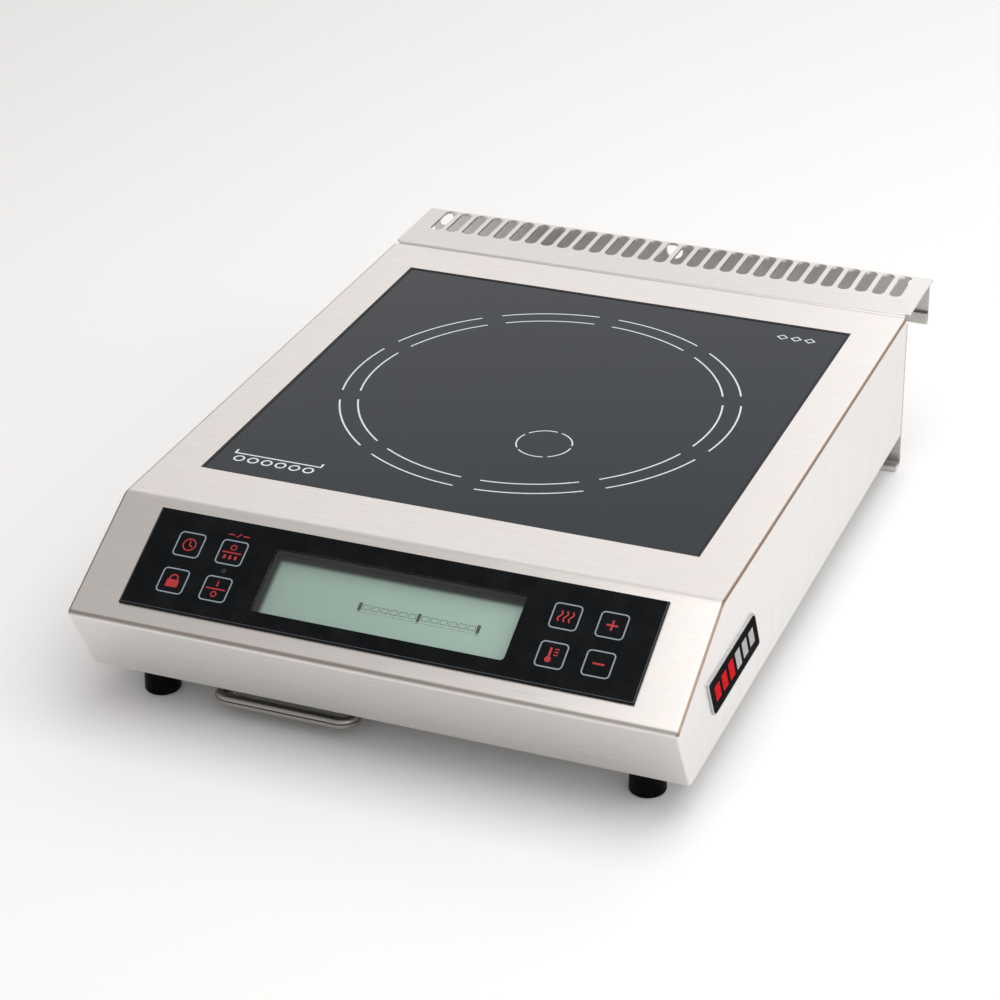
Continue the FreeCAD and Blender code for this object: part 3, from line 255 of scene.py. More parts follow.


# ---- back panel with its slotted steam hood --------------------------------------------------------
# A second folded sheet, 1.5 mm thick, is screwed to the back of the cover and carries the
# slotted hood.  Its rails and base plate below come from the same stock.
satin_back = brushed("satin_back", (0.74, 0.73, 0.72), 0.36)
finish(satin_back, "back_panel", "base_plate", "filter_rails")


def metal(name, tint, roughness, speckle=300.0):
    """Plated or cast metal with a faint grain and handling marks."""
    made, tree, shader = paint(name, Metallic=1.0)
    own = put(tree, "TexCoord").outputs["Object"]
    grain = put(tree, "TexNoise", {"Vector": own, "Scale": speckle, "Detail": 4.0}).outputs["Fac"]
    patch = put(tree, "TexNoise", {"Vector": own, "Scale": speckle / 9, "Detail": 2.0}).outputs["Fac"]
    darker = tuple(c * 0.82 for c in tint)
    colour = ramp(tree, grain, (0.3, darker), (0.7, tint))
    shade = ramp(tree, patch, (0.3, 0.9), (0.65, 1.0))
    tree.links.new(mix_colour(tree, 1.0, colour, shade, "MULTIPLY"), shader.inputs["Base Color"])
    tree.links.new(ramp(tree, grain, (0.25, roughness + 0.1), (0.75, roughness)), shader.inputs["Roughness"])
    bump = put(tree, "Bump", {"Height": grain, "Strength": 0.12, "Distance": 0.0002})
    tree.links.new(bump.outputs[0], shader.inputs["Normal"])
    return made


zinc = metal("zinc_plate", (0.66, 0.67, 0.68), 0.3, 420.0)
finish(zinc, "back_screws", "base_screws", "foot_screws", "fan_screws", "coil_posts", "glass_support",
       "glass_sensor", "coil_springs")


# ---- glass top ---------------------------------------------------------------------------------------
# A 4 mm plate of black glass ceramic lies in the cover's opening, bedded in black sealant.
# The cooking zone is printed on it in pale enamel and fired in.
glass_low, glass_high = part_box("glass_plate")
black_glass, tree, shader = paint("black_glass", IOR=1.29)
own = put(tree, "TexCoord").outputs["Object"]
speck = put(tree, "TexNoise", {"Vector": own, "Scale": 1400.0, "Detail": 2.0}).outputs["Fac"]
haze = put(tree, "TexNoise", {"Vector": own, "Scale": 14.0, "Detail": 3.0}).outputs["Fac"]
colour = ramp(tree, speck, (0.35, (0.001, 0.006, 0.012)), (0.68, (0.006, 0.013, 0.021)))
tree.links.new(colour, shader.inputs["Base Color"])
tree.links.new(ramp(tree, haze, (0.3, 0.07), (0.7, 0.12)), shader.inputs["Roughness"])
ripple = put(tree, "Bump", {"Height": speck, "Strength": 0.03, "Distance": 0.0001})
tree.links.new(ripple.outputs[0], shader.inputs["Normal"])
finish(black_glass, "glass_plate")


def soft_black(name, tint, roughness, scale=600.0, depth=0.2, shine=0.5):
    """Rubber or moulded plastic with a fine matt texture and paler rubbed spots."""
    made, tree, shader = paint(name, Specular_IOR_Level=shine)
    own = put(tree, "TexCoord").outputs["Object"]
    grain = put(tree, "TexNoise", {"Vector": own, "Scale": scale, "Detail": 3.0}).outputs["Fac"]
    worn = put(tree, "TexNoise", {"Vector": own, "Scale": scale / 12, "Detail": 4.0}).outputs["Fac"]
    lighter = tuple(c * 1.5 + 0.002 for c in tint)
    colour = ramp(tree, worn, (0.4, tint), (0.75, lighter))
    tree.links.new(colour, shader.inputs["Base Color"])
    spread = ramp(tree, grain, (0.3, roughness - 0.06), (0.7, roughness + 0.06))
    tree.links.new(spread, shader.inputs["Roughness"])
    bump = put(tree, "Bump", {"Height": grain, "Strength": depth, "Distance": 0.0002})
    tree.links.new(bump.outputs[0], shader.inputs["Normal"])
    return made


finish(soft_black("black_sealant", (0.026, 0.027, 0.03), 0.6, 350.0, 0.2, 0.12), "glass_seal")


def mitred(points, width, closed):
    """Left and right edges of a line of the given width drawn through points."""
    count = len(points)
    edges = []
    for i, point in enumerate(points):
        here = Vector(point)
        ways = []
        if closed or i > 0:
            ways.append((here - Vector(points[i - 1])).normalized())
        if closed or i < count - 1:
            ways.append((Vector(points[(i + 1) % count]) - here).normalized())
        along = sum(ways, Vector((0, 0))).normalized()
        reach = width / 2 / max(0.4, along.dot(ways[0]))
        aside = Vector((-along.y, along.x)) * reach
        edges.append((here + aside, here - aside))
    return edges


def rounded_path(corners, radii, steps=6):
    """Points round a closed outline, with an arc of its own radius at each corner."""
    spots = []
    for i, corner in enumerate(corners):
        here = Vector(corner)
        back = (Vector(corners[i - 1]) - here).normalized()
        ahead = (Vector(corners[(i + 1) % len(corners)]) - here).normalized()
        half = back.angle(ahead) / 2
        centre = here + (back + ahead).normalized() * (radii[i] / math.sin(half))
        spoke = here + back * (radii[i] / math.tan(half)) - centre
        sweep = math.copysign(math.pi - 2 * half, back.x * ahead.y - back.y * ahead.x) * -1
        for k in range(steps + 1):
            turn = sweep * k / steps
            spots.append((centre.x + spoke.x * math.cos(turn) - spoke.y * math.sin(turn),
                          centre.y + spoke.x * math.sin(turn) + spoke.y * math.cos(turn)))
    return spots


def oblong(size_x, size_y, corner, x=0.0, y=0.0):
    corners = [(x + a * size_x / 2, y + b * size_y / 2) for a, b in ((1, 1), (-1, 1), (-1, -1), (1, -1))]
    return rounded_path(corners, [corner] * 4)


class Print:
    """Printed lines and patches, drawn flat in millimetres and laid as a thin film on a face."""

    def __init__(self):
        self.points = []
        self.faces = []

    def line(self, points, width, closed=False):
        start = len(self.points)
        for left, right in mitred(points, width, closed):
            self.points += [left, right]
        steps = len(points) if closed else len(points) - 1
        for i in range(steps):
            a = start + 2 * i
            b = start + 2 * ((i + 1) % len(points))
            self.faces.append((a + 1, b + 1, b, a))

    def rim(self, path, width):
        """A line of the given width just inside a closed path that turns to the left."""
        self.line([left for left, right in mitred(path, width, True)], width, True)

    def patch(self, path):
        start = len(self.points)
        self.points += [Vector(point) for point in path]
        self.faces.append(tuple(range(start, start + len(path))))

    def arc(self, x, y, radius, start, end, width):
        steps = max(8, int(abs(end - start) * radius / 60))
        turns = [math.radians(start + (end - start) * i / steps) for i in range(steps + 1)]
        self.line([(x + radius * math.cos(turn), y + radius * math.sin(turn)) for turn in turns], width)

    def ring(self, x, y, radius, width):
        turns = [2 * math.pi * i / 32 for i in range(32)]
        self.rim([(x + radius * math.cos(turn), y + radius * math.sin(turn)) for turn in turns], width)

    def disc(self, x, y, radius):
        turns = [2 * math.pi * i / 24 for i in range(24)]
        self.patch([(x + radius * math.cos(turn), y + radius * math.sin(turn)) for turn in turns])

    def lay(self, name, place, material, body, slot, height=0.04):
        """Makes the film: place turns flat X and Y and the height above the face into metres."""
        count = len(self.points)
        spots = [place(p.x, p.y, height) for p in self.points]
        spots += [place(p.x, p.y, 0.0) for p in self.points]
        edges = {(a, b) for face in self.faces for a, b in zip(face, face[1:] + face[:1])}
        sides = [(a, count + a, count + b, b) for a, b in sorted(edges) if (b, a) not in edges]
        under = [tuple(count + i for i in reversed(face)) for face in self.faces]
        mesh = bpy.data.meshes.new(name)
        mesh.from_pydata(spots, [], self.faces + under + sides)
        mesh.materials.append(material)
        made = bpy.data.objects.new(name, mesh)
        bpy.context.scene.collection.objects.link(made)
        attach(made, body)


def ink(name, tint, roughness=0.5, glow=0.0):
    """Screen-printed enamel, a little uneven in thickness and shade."""
    made, tree, shader = paint(name)
    own = put(tree, "TexCoord").outputs["Object"]
    grain = put(tree, "TexNoise", {"Vector": own, "Scale": 900.0, "Detail": 3.0}).outputs["Fac"]
    thin = tuple(c * 0.82 for c in tint)
    colour = ramp(tree, grain, (0.3, thin), (0.6, tint))
    tree.links.new(colour, shader.inputs["Base Color"])
    if glow:
        tree.links.new(colour, shader.inputs["Emission Color"])
        shader.inputs["Emission Strength"].default_value = glow
    tree.links.new(ramp(tree, grain, (0.3, roughness + 0.08), (0.7, roughness)), shader.inputs["Roughness"])
    return made


glass_mid = (glass_low + glass_high) / 2


def on_glass(x, y, out):
    return Vector((glass_mid.x + x * mm, glass_mid.y + y * mm, glass_high.z + (out + 0.01) * mm))


pale_enamel = ink("pale_enamel", (0.66, 0.73, 0.8), 0.4)
zone = Print()
ring_arcs = 10
ring_line = 1.0
half_arc = 14.9
for ring_radius in (115.1, 104.6):
    for i in range(ring_arcs):
        middle = 360 * i / ring_arcs
        zone.arc(0, 0, ring_radius, middle - half_arc, middle + half_arc, ring_line)
spot_x = 22.7
spot_y = -52.4
spot_radius = 15.7
spot_line = 0.8
spot_arcs = 5
spot_gap = 10
for i in range(spot_arcs):
    start = 360 * i / spot_arcs
    zone.arc(spot_x, spot_y, spot_radius, start + spot_gap, start + 360 / spot_arcs, spot_line)
zone.lay("zone_rings", on_glass, pale_enamel, "hob", "black_glass")

coil_mark = Print()
mark_left = -134.0
mark_right = -82.0
mark_y = -128.0
mark_line = 1.1
wire_turns = 6
mark_ring = 3.3
wire_inset = 5.0
wire_span = mark_right - mark_left - 2 * wire_inset
for i in range(wire_turns):
    x = mark_left + wire_inset + wire_span * i / (wire_turns - 1)
    coil_mark.ring(x, mark_y + 1.5, mark_ring, mark_line)
pan_foot = mark_y + 7
pan_rim = mark_y + 11
pan_outline = [(mark_left, pan_rim), (mark_left, pan_foot), (mark_right, pan_foot), (mark_right, pan_rim)]
coil_mark.line(pan_outline, mark_line)
coil_mark.lay("coil_mark", on_glass, pale_enamel, "hob", "black_glass")

corner_mark = Print()
lozenge_x = 106.5
lozenge_y = 126.0
lozenge_pitch = 8.5
half_wide = 3.6
half_tall = 3.4
for i in range(3):
    x = lozenge_x + lozenge_pitch * i
    corner_mark.rim([(x + half_wide, lozenge_y), (x, lozenge_y + half_tall), (x - half_wide, lozenge_y),
                     (x, lozenge_y - half_tall)], 0.8)
corner_mark.lay("corner_mark", on_glass, pale_enamel, "hob", "black_glass")


# ---- control panel and keys ---------------------------------------------------------------------------
# A gloss black moulding is set in the slope.  Eight square keys sit flush in it, each outlined
# in grey and printed with a red sign, and each goes down 0.3 mm on its switch.
keys = sorted(name for name in frame["bodies"] if name.startswith("key_"))
finish(soft_black("gloss_black", (0.004, 0.005, 0.006), 0.24, 900.0, 0.04, 0.06), "control_panel", *keys)
finish(soft_black("unlit_lens", (0.018, 0.018, 0.019), 0.3, 500.0, 0.05, 0.2), "power_led")

press = next(joint for joint in frame["joints"] if joint["child"] == "key_plus")
outward = -Vector(press["axis"]).normalized()
up_slope = outward.cross(Vector((1, 0, 0)))


def face_middle(node, direction):
    """Middle of the node's face that lies furthest along direction."""
    spots = [v.co for v in frame["nodes"][node].data.vertices]
    reach = max(spot.dot(direction) for spot in spots)
    face = [spot for spot in spots if spot.dot(direction) > reach - 0.01 * mm]
    low = Vector(min(spot[i] for spot in face) for i in range(3))
    high = Vector(max(spot[i] for spot in face) for i in range(3))
    return (low + high) / 2


def slope_face(node):
    """Where a print on the outer face of this node goes."""
    middle = face_middle(node, outward)

    def place(x, y, out):
        return middle + Vector((x * mm, 0, 0)) + up_slope * (y * mm) + outward * ((out + 0.01) * mm)

    return place


def clock(sign):
    sign.ring(0, 0, 3.9, 0.75)
    sign.line([(0, 2.5), (0, -0.1), (1.9, -1.2)], 0.7)


def hours_and_minutes(sign):
    sign.line([(-5.5, 0), (5.5, 0)], 0.8)
    sign.ring(0, 3.2, 1.8, 0.6)
    for x in (-3.2, 0, 3.2):
        sign.patch(oblong(1.5, 2.4, 0.3, x, -2.9))


def padlock(sign):
    sign.patch(oblong(7.0, 4.6, 0.6, 0, -1.5))
    sign.line([(-2.2, 0.8), (-2.2, 2.0), (-1.6, 3.2), (0, 3.8), (1.6, 3.2), (2.2, 2.0), (2.2, 0.8)], 0.85)


def on_and_off(sign):
    sign.line([(-5.5, 0), (5.5, 0)], 0.8)
    sign.line([(0, 1.5), (0, 4.9)], 0.8)
    sign.ring(0, -3.2, 1.8, 0.7)


def heat_waves(sign):
    heights = [-3.2 + 0.4 * i for i in range(17)]
    for x in (-3.0, 0, 3.0):
        sign.line([(x + 0.9 * math.sin(math.pi * y / 3.2), y) for y in heights], 0.85)


def thermometer(sign):
    sign.disc(-1.2, -2.8, 1.7)
    sign.line([(-1.2, -1.2), (-1.2, 4.2)], 1.3)
    for y in (0.2, 1.9, 3.6):
        sign.line([(0.9, y), (3.2, y)], 0.7)


def plus(sign):
    arm = 3.1
    half = 0.55
    sign.patch([(arm, -half), (arm, half), (half, half), (half, arm), (-half, arm), (-half, half),
                (-arm, half), (-arm, -half), (-half, -half), (-half, -arm), (half, -arm), (half, -half)])


def minus(sign):
    sign.line([(-3.1, 0), (3.1, 0)], 1.1)


key_signs = {
    "key_timer": clock,
    "key_minutes": hours_and_minutes,
    "key_lock": padlock,
    "key_power": on_and_off,
    "key_heat": heat_waves,
    "key_temperature": thermometer,
    "key_plus": plus,
    "key_minus": minus,
}
outline_grey = ink("outline_grey", (0.24, 0.3, 0.345), 0.45)
sign_red = ink("sign_red", (0.42, 0.013, 0.02), 0.5)
outline_size = 15.4
outline_corner = 2.5
outline_line = 0.75
for key, draw in key_signs.items():
    outline = Print()
    outline.rim(oblong(outline_size, outline_size, outline_corner), outline_line)
    outline.lay(key + "_outline", slope_face(key), outline_grey, key, "key_black")
    sign = Print()
    draw(sign)
    sign.lay(key + "_sign", slope_face(key), sign_red, key, "key_black")

clear_sign = Print()
clear_y = 10.9
clear_line = 0.7
slash_reach = 1.2
for end in (-1, 1):
    clear_sign.line([(end * 2.6, clear_y), (end * 6.0, clear_y)], clear_line)
clear_sign.line([(-slash_reach, clear_y - slash_reach), (slash_reach, clear_y + slash_reach)], clear_line)
clear_sign.lay("clear_sign", slope_face("key_minutes"), sign_red, "hob", "panel_black")

# Painted highlight: a thin grey line inset along the left, bottom and right edges of the panel stands for
# light caught by its bevel.
panel_spots = [v.co for v in frame["nodes"]["control_panel"].data.vertices]
panel_mid = face_middle("control_panel", outward)
highlight_inset = 0.7
highlight_width = 0.4
panel_half_x = max(abs(spot.x) for spot in panel_spots) / mm - highlight_inset
panel_half_y = max((spot - panel_mid).dot(up_slope) for spot in panel_spots) / mm - highlight_inset
bevel_highlight = Print()
bevel_highlight.line([(-panel_half_x, panel_half_y), (-panel_half_x, -panel_half_y), (panel_half_x, -panel_half_y),
                (panel_half_x, panel_half_y)], highlight_width)
highlight_grey = ink("highlight_grey", (0.045, 0.05, 0.06), 0.4)
bevel_highlight.lay("panel_edge_line", slope_face("control_panel"), highlight_grey, "hob", "panel_black")


# ---- display -------------------------------------------------------------------------------------------
# A grey-green liquid crystal glass lies 7 mm behind a clear window, at the bottom of a grey
# shroud.  Its level bar of twelve cells between three marks always shows.
lcd, tree, shader = paint("liquid_crystal", Roughness=0.3)
own = put(tree, "TexCoord").outputs["Object"]
cloud = put(tree, "TexNoise", {"Vector": own, "Scale": 9.0, "Detail": 1.0}).outputs["Fac"]
dots = put(tree, "TexNoise", {"Vector": own, "Scale": 1500.0, "Detail": 1.0}).outputs["Fac"]
base = ramp(tree, cloud, (0.3, (0.33, 0.46, 0.41)), (0.7, (0.37, 0.5, 0.45)))
grain = ramp(tree, dots, (0.3, 0.94), (0.7, 1.0))
colour = mix_colour(tree, 1.0, base, grain, "MULTIPLY")
window_middle = face_middle("display_window", outward)
window_low, window_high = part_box("display_window")
window_half_x = (window_high.x - window_low.x) / 2
window_spots = [v.co for v in frame["nodes"]["display_window"].data.vertices]
window_half_y = max((spot - window_middle).dot(up_slope) for spot in window_spots)
# Painted shade: the crystal darkens towards its left end, and grey shade is painted along its left and top
# edges below the shroud.
from_left = put(tree, "SeparateXYZ", {"Vector": own}).outputs["X"]
sweep = put(tree, "MapRange", {0: from_left, 1: -window_half_x, 2: window_half_x}).outputs[0]
colour = mix_colour(tree, 1.0, colour, ramp(tree, sweep, (0.0, 0.84), (1.0, 1.0)), "MULTIPLY")
shade_grey = (0.04, 0.043, 0.044)
left_edge = -window_half_x
shade_left = put(tree, "MapRange", {0: from_left, 1: left_edge + 3.0 * mm, 2: left_edge - 0.2 * mm},
                 interpolation_type="SMOOTHSTEP").outputs[0]
colour = mix_colour(tree, shade_left, colour, shade_grey)
along = put(tree, "VectorMath", {0: own, 1: tuple(up_slope)}, operation="DOT_PRODUCT").outputs["Value"]
window_top = window_middle.dot(up_slope) + window_half_y
shade_top = put(tree, "MapRange", {0: along, 1: window_top - 4.6 * mm, 2: window_top - 1.6 * mm},
                interpolation_type="SMOOTHSTEP").outputs[0]
colour = mix_colour(tree, shade_top, colour, shade_grey)
tree.links.new(colour, shader.inputs["Base Color"])
# Painted light: the crystal glows faintly in its own colour, painted shade included.
tree.links.new(colour, shader.inputs["Emission Color"])
shader.inputs["Emission Strength"].default_value = 0.13
finish(lcd, "display_glass")
finish(soft_black("shroud_grey", (0.04, 0.042, 0.044), 0.8, 200.0, 0.004, 0.03), "display_shroud")

pane, tree, shader = paint("clear_pane")
gloss = put(tree, "BsdfGlossy", {"Color": (1, 1, 1, 1), "Roughness": 0.06})
through = put(tree, "BsdfTransparent", {"Color": (0.96, 0.97, 0.965, 1)})
fresnel = put(tree, "Fresnel", {"IOR": 1.3}).outputs[0]
facing = put(tree, "NewGeometry").outputs["Normal"]
outside = put(tree, "VectorMath", {0: facing, 1: tuple(outward)}, operation="DOT_PRODUCT").outputs["Value"]
on_face = put(tree, "Math", {0: outside, 1: 0.9}, operation="GREATER_THAN").outputs[0]
shine = put(tree, "Math", {0: fresnel, 1: on_face}, operation="MULTIPLY").outputs[0]
both = put(tree, "MixShader", {0: shine, 1: through.outputs[0], 2: gloss.outputs[0]})
tree.links.new(both.outputs[0], tree.nodes["Material Output"].inputs["Surface"])
own = put(tree, "TexCoord").outputs["Object"]
smudge = put(tree, "TexNoise", {"Vector": own, "Scale": 60.0, "Detail": 3.0}).outputs["Fac"]
tree.links.new(ramp(tree, smudge, (0.3, 0.03), (0.75, 0.12)), gloss.inputs["Roughness"])
tree.nodes.remove(shader)
finish(pane, "display_window")

segment_dark = ink("segment_dark", (0.055, 0.065, 0.07), 0.5)
segment_faint = ink("segment_faint", (0.13, 0.18, 0.17), 0.5)
lcd_depth = (window_middle - face_middle("display_glass", outward)).dot(outward)


def on_lcd(x, y, out):
    base = window_middle + Vector((x * mm, 0, 0)) + up_slope * (y * mm)
    return base + outward * ((out + 0.02) * mm - lcd_depth)


bar_y = -0.6
mark_places = (-17.5, 15.6, 48.7)
marks = Print()
for x in mark_places:
    marks.patch(oblong(1.9, 4.8, 0.2, x, bar_y))
marks.lay("level_marks", on_lcd, segment_dark, "hob", "display_green")
cells = Print()
# Painted shadow: faint drop shadows printed under the cells and marks, in an ink that glows faintly like the
# crystal.
shades = Print()
cell_pitch = 5.15
shade_drop = 1.5
for start in mark_places[:2]:
    for i in range(6):
        x = start + 3.7 + cell_pitch * i
        cells.rim(oblong(4.2, 3.0, 0.5, x, bar_y), 0.35)
        shades.line([(x - 2.1, bar_y - 1.5 - shade_drop), (x + 2.1, bar_y - 1.5 - shade_drop)], 0.35)
for x in mark_places:
    shades.patch(oblong(1.7, 1.2, 0.2, x, bar_y - 3.1))
cells.lay("level_cells", on_lcd, segment_faint, "hob", "display_green")
shades.lay("level_shades", on_lcd, ink("segment_shade", (0.22, 0.3, 0.28), 0.5, 0.1), "hob", "display_green")


# ---- badge ---------------------------------------------------------------------------------------------
# A slanted plate of printed aluminium under clear resin is glued to the right side.  It has a
# silver rim and a plain row of red and silver bars.
silver = metal("badge_silver", (0.62, 0.62, 0.63), 0.42, 500.0)
finish(silver, "side_badge")
badge_low, badge_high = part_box("side_badge")
badge_mid = (badge_low + badge_high) / 2
badge_height = (badge_high.z - badge_low.z) / mm
badge_slant = 12.5
badge_half = ((badge_high.y - badge_low.y) / mm - badge_slant) / 2 + 0.9


def on_badge(x, y, out):
    return Vector((badge_high.x + (out + 0.01) * mm, badge_mid.y + x * mm, badge_mid.z + y * mm))


def lean(x, y):
    return (x - y * badge_slant / badge_height, y)


field_inset = 1.2
reach_x = badge_half - field_inset
reach_y = badge_height / 2 - field_inset
field = Print()
field.patch(rounded_path([lean(a * reach_x, b * reach_y) for a, b in ((1, 1), (-1, 1), (-1, -1), (1, -1))],
                         [6.6, 1.0, 6.6, 1.0]))
field_black = soft_black("badge_black", (0.009, 0.009, 0.01), 0.5, 500.0, 0.03, 0.04)
field.lay("badge_field", on_badge, field_black, "hob", "badge_black")
bar_silver = ink("bar_silver", (0.44, 0.44, 0.45), 0.5)
badge_red = ink("badge_red", (0.6, 0.008, 0.014), 0.5)
for film in (field_black, bar_silver, badge_red):
    film.node_tree.nodes["Principled BSDF"].inputs["IOR"].default_value = 1.04


def on_field(x, y, out):
    return on_badge(x, y, out + 0.05)


bar_start = -28.0
bar_width = 7.4
bar_step = 11.2
bar_tall = 6.9
bar_taper = 0.5
for i in range(6):
    bar = Print()
    x = bar_start + bar_step * i
    tall = bar_tall - bar_taper * abs(i - 2.5)
    bar.patch([lean(x + bar_width / 2, -tall), lean(x + bar_width / 2, tall),
               lean(x - bar_width / 2, tall), lean(x - bar_width / 2, -tall)])
    bar.lay("badge_bar_%d" % (i + 1), on_field, badge_red if i < 3 else bar_silver, "hob", "badge_black")


# ---- rubber feet ---------------------------------------------------------------------------------------
# Four moulded feet of black rubber, each held by one screw sunk in its underside.
finish(soft_black("foot_rubber", (0.001, 0.001, 0.0015), 0.42, 500.0, 0.2, 0.05),
       "foot_front_left", "foot_front_right", "foot_back_left", "foot_back_right")


# ---- intake filter ---------------------------------------------------------------------------------------
# A pressed steel frame holds a grease mesh of crossed steel wires under the fan.  It slides out
# to the front between two rails to be washed.
# Painted shade: the frame's steel is tinted about half as bright as the cover's, for the shade it sits in
# under the cover.
finish(brushed("filter_steel", (0.4, 0.385, 0.365), 0.36), "filter_frame")


def tube(points, radius, sides, spots, faces):
    """Adds a round wire along points, with closed ends, to the lists of points and faces."""
    start = len(spots)
    last = len(points) - 1
    across = None
    for i, point in enumerate(points):
        along = (points[min(i + 1, last)] - points[max(i - 1, 0)]).normalized()
        if across is None:
            across = along.orthogonal().normalized()
        across = (across - along * across.dot(along)).normalized()
        up = along.cross(across)
        for k in range(sides):
            turn = 2 * math.pi * k / sides
            spots.append(point + across * (radius * math.cos(turn)) + up * (radius * math.sin(turn)))
    for i in range(last):
        for k in range(sides):
            a = start + i * sides + k
            b = start + i * sides + (k + 1) % sides
            faces.append((a, b, b + sides, a + sides))
    faces.append(tuple(start + k for k in reversed(range(sides))))
    faces.append(tuple(start + last * sides + k for k in range(sides)))


def wire_piece(name, paths, radius, sides, material, body):
    """One piece made of round wires, smooth along their length."""
    spots = []
    faces = []
    for points in paths:
        tube(points, radius, sides, spots, faces)
    mesh = bpy.data.meshes.new(name)
    mesh.from_pydata(spots, [], faces)
    mesh.materials.append(material)
    mesh.shade_smooth()
    made = bpy.data.objects.new(name, mesh)
    bpy.context.scene.collection.objects.link(made)
    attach(made, body)
    return made


mesh_low, mesh_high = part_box("filter_mesh")
mesh_mid = (mesh_low + mesh_high) / 2
wire_pitch = 2.2 * mm
wire_radius = 0.36 * mm
corner = 6.0 * mm
paths = []
for axis in (0, 1):
    other = 1 - axis
    half_across = (mesh_high[other] - mesh_low[other]) / 2 - wire_radius
    half_along = (mesh_high[axis] - mesh_low[axis]) / 2 - wire_radius
    count = int(2 * half_across / wire_pitch)
    for i in range(count + 1):
        offset = (i - count / 2) * wire_pitch
        into_corner = max(0.0, abs(offset) - (half_across - corner))
        reach = half_along - corner + math.sqrt(max(0.0, corner ** 2 - into_corner ** 2))
        steps = int(2 * reach / (wire_pitch / 2))
        path = []
        for k in range(steps + 1):
            spot = mesh_mid.copy()
            spot[other] += offset
            spot[axis] += -reach + 2 * reach * k / steps
            weave = math.cos(math.pi * ((spot[axis] - mesh_mid[axis]) / wire_pitch + i + axis))
            spot.z += weave * wire_radius
            path.append(spot)
        paths.append(path)
woven = wire_piece("woven_mesh", paths, wire_radius, 5, metal("mesh_wire", (0.62, 0.62, 0.59), 0.45, 700.0),
                   "filter")
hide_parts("filter_mesh")

frame_low, frame_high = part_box("filter_frame")
frame_mid = (frame_low + frame_high) / 2
# Painted shadow: a dark wire laid in the groove round the frame stands for the shade in it.
groove_radius = 0.55 * mm
groove_out = 0.3 * mm - groove_radius
groove_size = (frame_high - frame_low) / mm + Vector((1, 1, 0)) * (2 * groove_out / mm)
outline = oblong(groove_size.x, groove_size.y, 9.8)
groove = [frame_mid + Vector((x * mm, y * mm, 0.6 * mm)) for x, y in outline + outline[:1]]
wire_piece("frame_groove", [groove], groove_radius, 8, soft_black("groove_shadow", (0.03, 0.029, 0.027), 0.6),
           "filter")


# ---- cord gland and bonding stud -----------------------------------------------------------------------
# The nylon gland clamps the mains cord where it leaves the back panel; its cap is ribbed for the
# hand.  The brass stud beside it takes the bonding wire between two nuts.
black_nylon = soft_black("black_nylon", (0.014, 0.014, 0.016), 0.48, 800.0)
finish(black_nylon, "cord_gland", "gland_nut", "fan_frame", "fan_rotor", "coil_carrier", "key_switches",
       "power_devices")
finish(metal("stud_brass", (0.78, 0.6, 0.3), 0.28, 500.0), "bonding_stud", "bonding_nuts", "board_standoffs")

gland_low, gland_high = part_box("cord_gland")
gland_x = (gland_low.x + gland_high.x) / 2
gland_z = (gland_low.z + gland_high.z) / 2
rib_count = 16
rib_radius = 0.7 * mm
rib_start = Vector((gland_x, gland_high.y - 18 * mm, gland_z))
rib_end = Vector((gland_x, gland_high.y - 1 * mm, gland_z))
cap_wide = 11.9 * mm
cap_narrow = 9.3 * mm
ribs = []
for i in range(rib_count):
    turn = 2 * math.pi * i / rib_count
    aside = Vector((math.cos(turn), 0, math.sin(turn)))
    ribs.append([rib_start + aside * cap_wide, rib_end + aside * cap_narrow])
wire_piece("gland_ribs", ribs, rib_radius, 8, black_nylon, "hob")


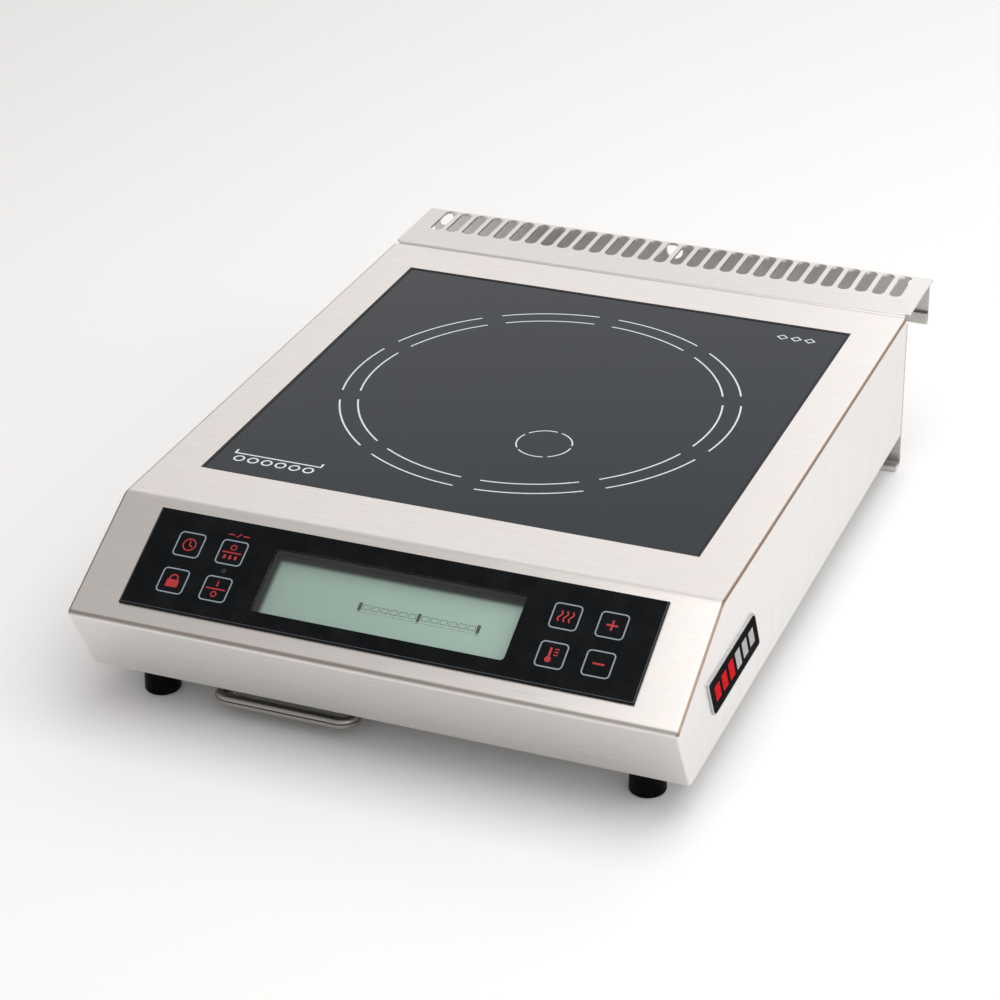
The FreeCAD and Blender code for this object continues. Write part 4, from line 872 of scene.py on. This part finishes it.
# ---- coil under the glass ------------------------------------------------------------------------------
# Stranded copper wire is wound in a flat spiral on a plastic carrier over ferrite bars.  An
# aluminium plate on four springs presses the stack up to the mica under the glass.
copper = metal("litz_copper", (0.72, 0.36, 0.18), 0.35, 900.0)
finish(copper, "coil_leads", "coil_winding")
finish(metal("bare_aluminium", (0.77, 0.78, 0.8), 0.32, 260.0), "coil_plate", "heatsink")
finish(soft_black("ferrite_grey", (0.05, 0.05, 0.055), 0.6, 900.0), "ferrite_bars")
finish(soft_black("mica_board", (0.55, 0.48, 0.34), 0.5, 200.0), "mica_sheet")

coil_low, coil_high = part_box("coil_winding")
coil_mid = (coil_low + coil_high) / 2
litz_radius = 1.9 * mm
turns = 17
outer_turn = (coil_high.x - coil_low.x) / 2 - litz_radius
inner_turn = 28 * mm
turn_steps = 56
spiral = []
for i in range(turns * turn_steps + 1):
    turn = 2 * math.pi * i / turn_steps
    radius = inner_turn + (outer_turn - inner_turn) * i / (turns * turn_steps)
    spiral.append(coil_mid + Vector((radius * math.cos(turn), radius * math.sin(turn), 0)))
winding = wire_piece("litz_winding", [spiral], litz_radius, 8, copper, "hob")
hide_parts("coil_winding")

springs_low, springs_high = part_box("coil_springs")
spring_wire = 0.6 * mm
spring_radius = 5.0 * mm
spring_turns = 6
turn_points = 16
spring_rise = springs_high.z - springs_low.z - 2 * spring_wire
reach = spring_radius - spring_wire
paths = []
for x in (springs_low.x + spring_radius, springs_high.x - spring_radius):
    for y in (springs_low.y + spring_radius, springs_high.y - spring_radius):
        path = []
        for i in range(spring_turns * turn_points + 1):
            turn = 2 * math.pi * i / turn_points
            z = springs_low.z + spring_wire + spring_rise * i / (spring_turns * turn_points)
            path.append(Vector((x + reach * math.cos(turn), y + reach * math.sin(turn), z)))
        paths.append(path)
coils = wire_piece("plate_springs", paths, spring_wire, 6, zinc, "hob")
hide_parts("coil_springs")


# ---- power board ---------------------------------------------------------------------------------------
# The power board stands on pillars on the base, with its heatsink, capacitors and choke.
# A ribbon joins it to the board behind the keys.
finish(soft_black("green_board", (0.02, 0.12, 0.05), 0.35, 400.0), "power_board", "display_board")
finish(soft_black("component_grey", (0.26, 0.27, 0.29), 0.5, 500.0), "film_capacitors", "standby_transformer")
finish(soft_black("cream_plastic", (0.75, 0.72, 0.64), 0.5, 500.0), "terminal_block", "display_ribbon")
finish(metal("choke_copper", (0.66, 0.3, 0.14), 0.3, 900.0), "filter_choke")
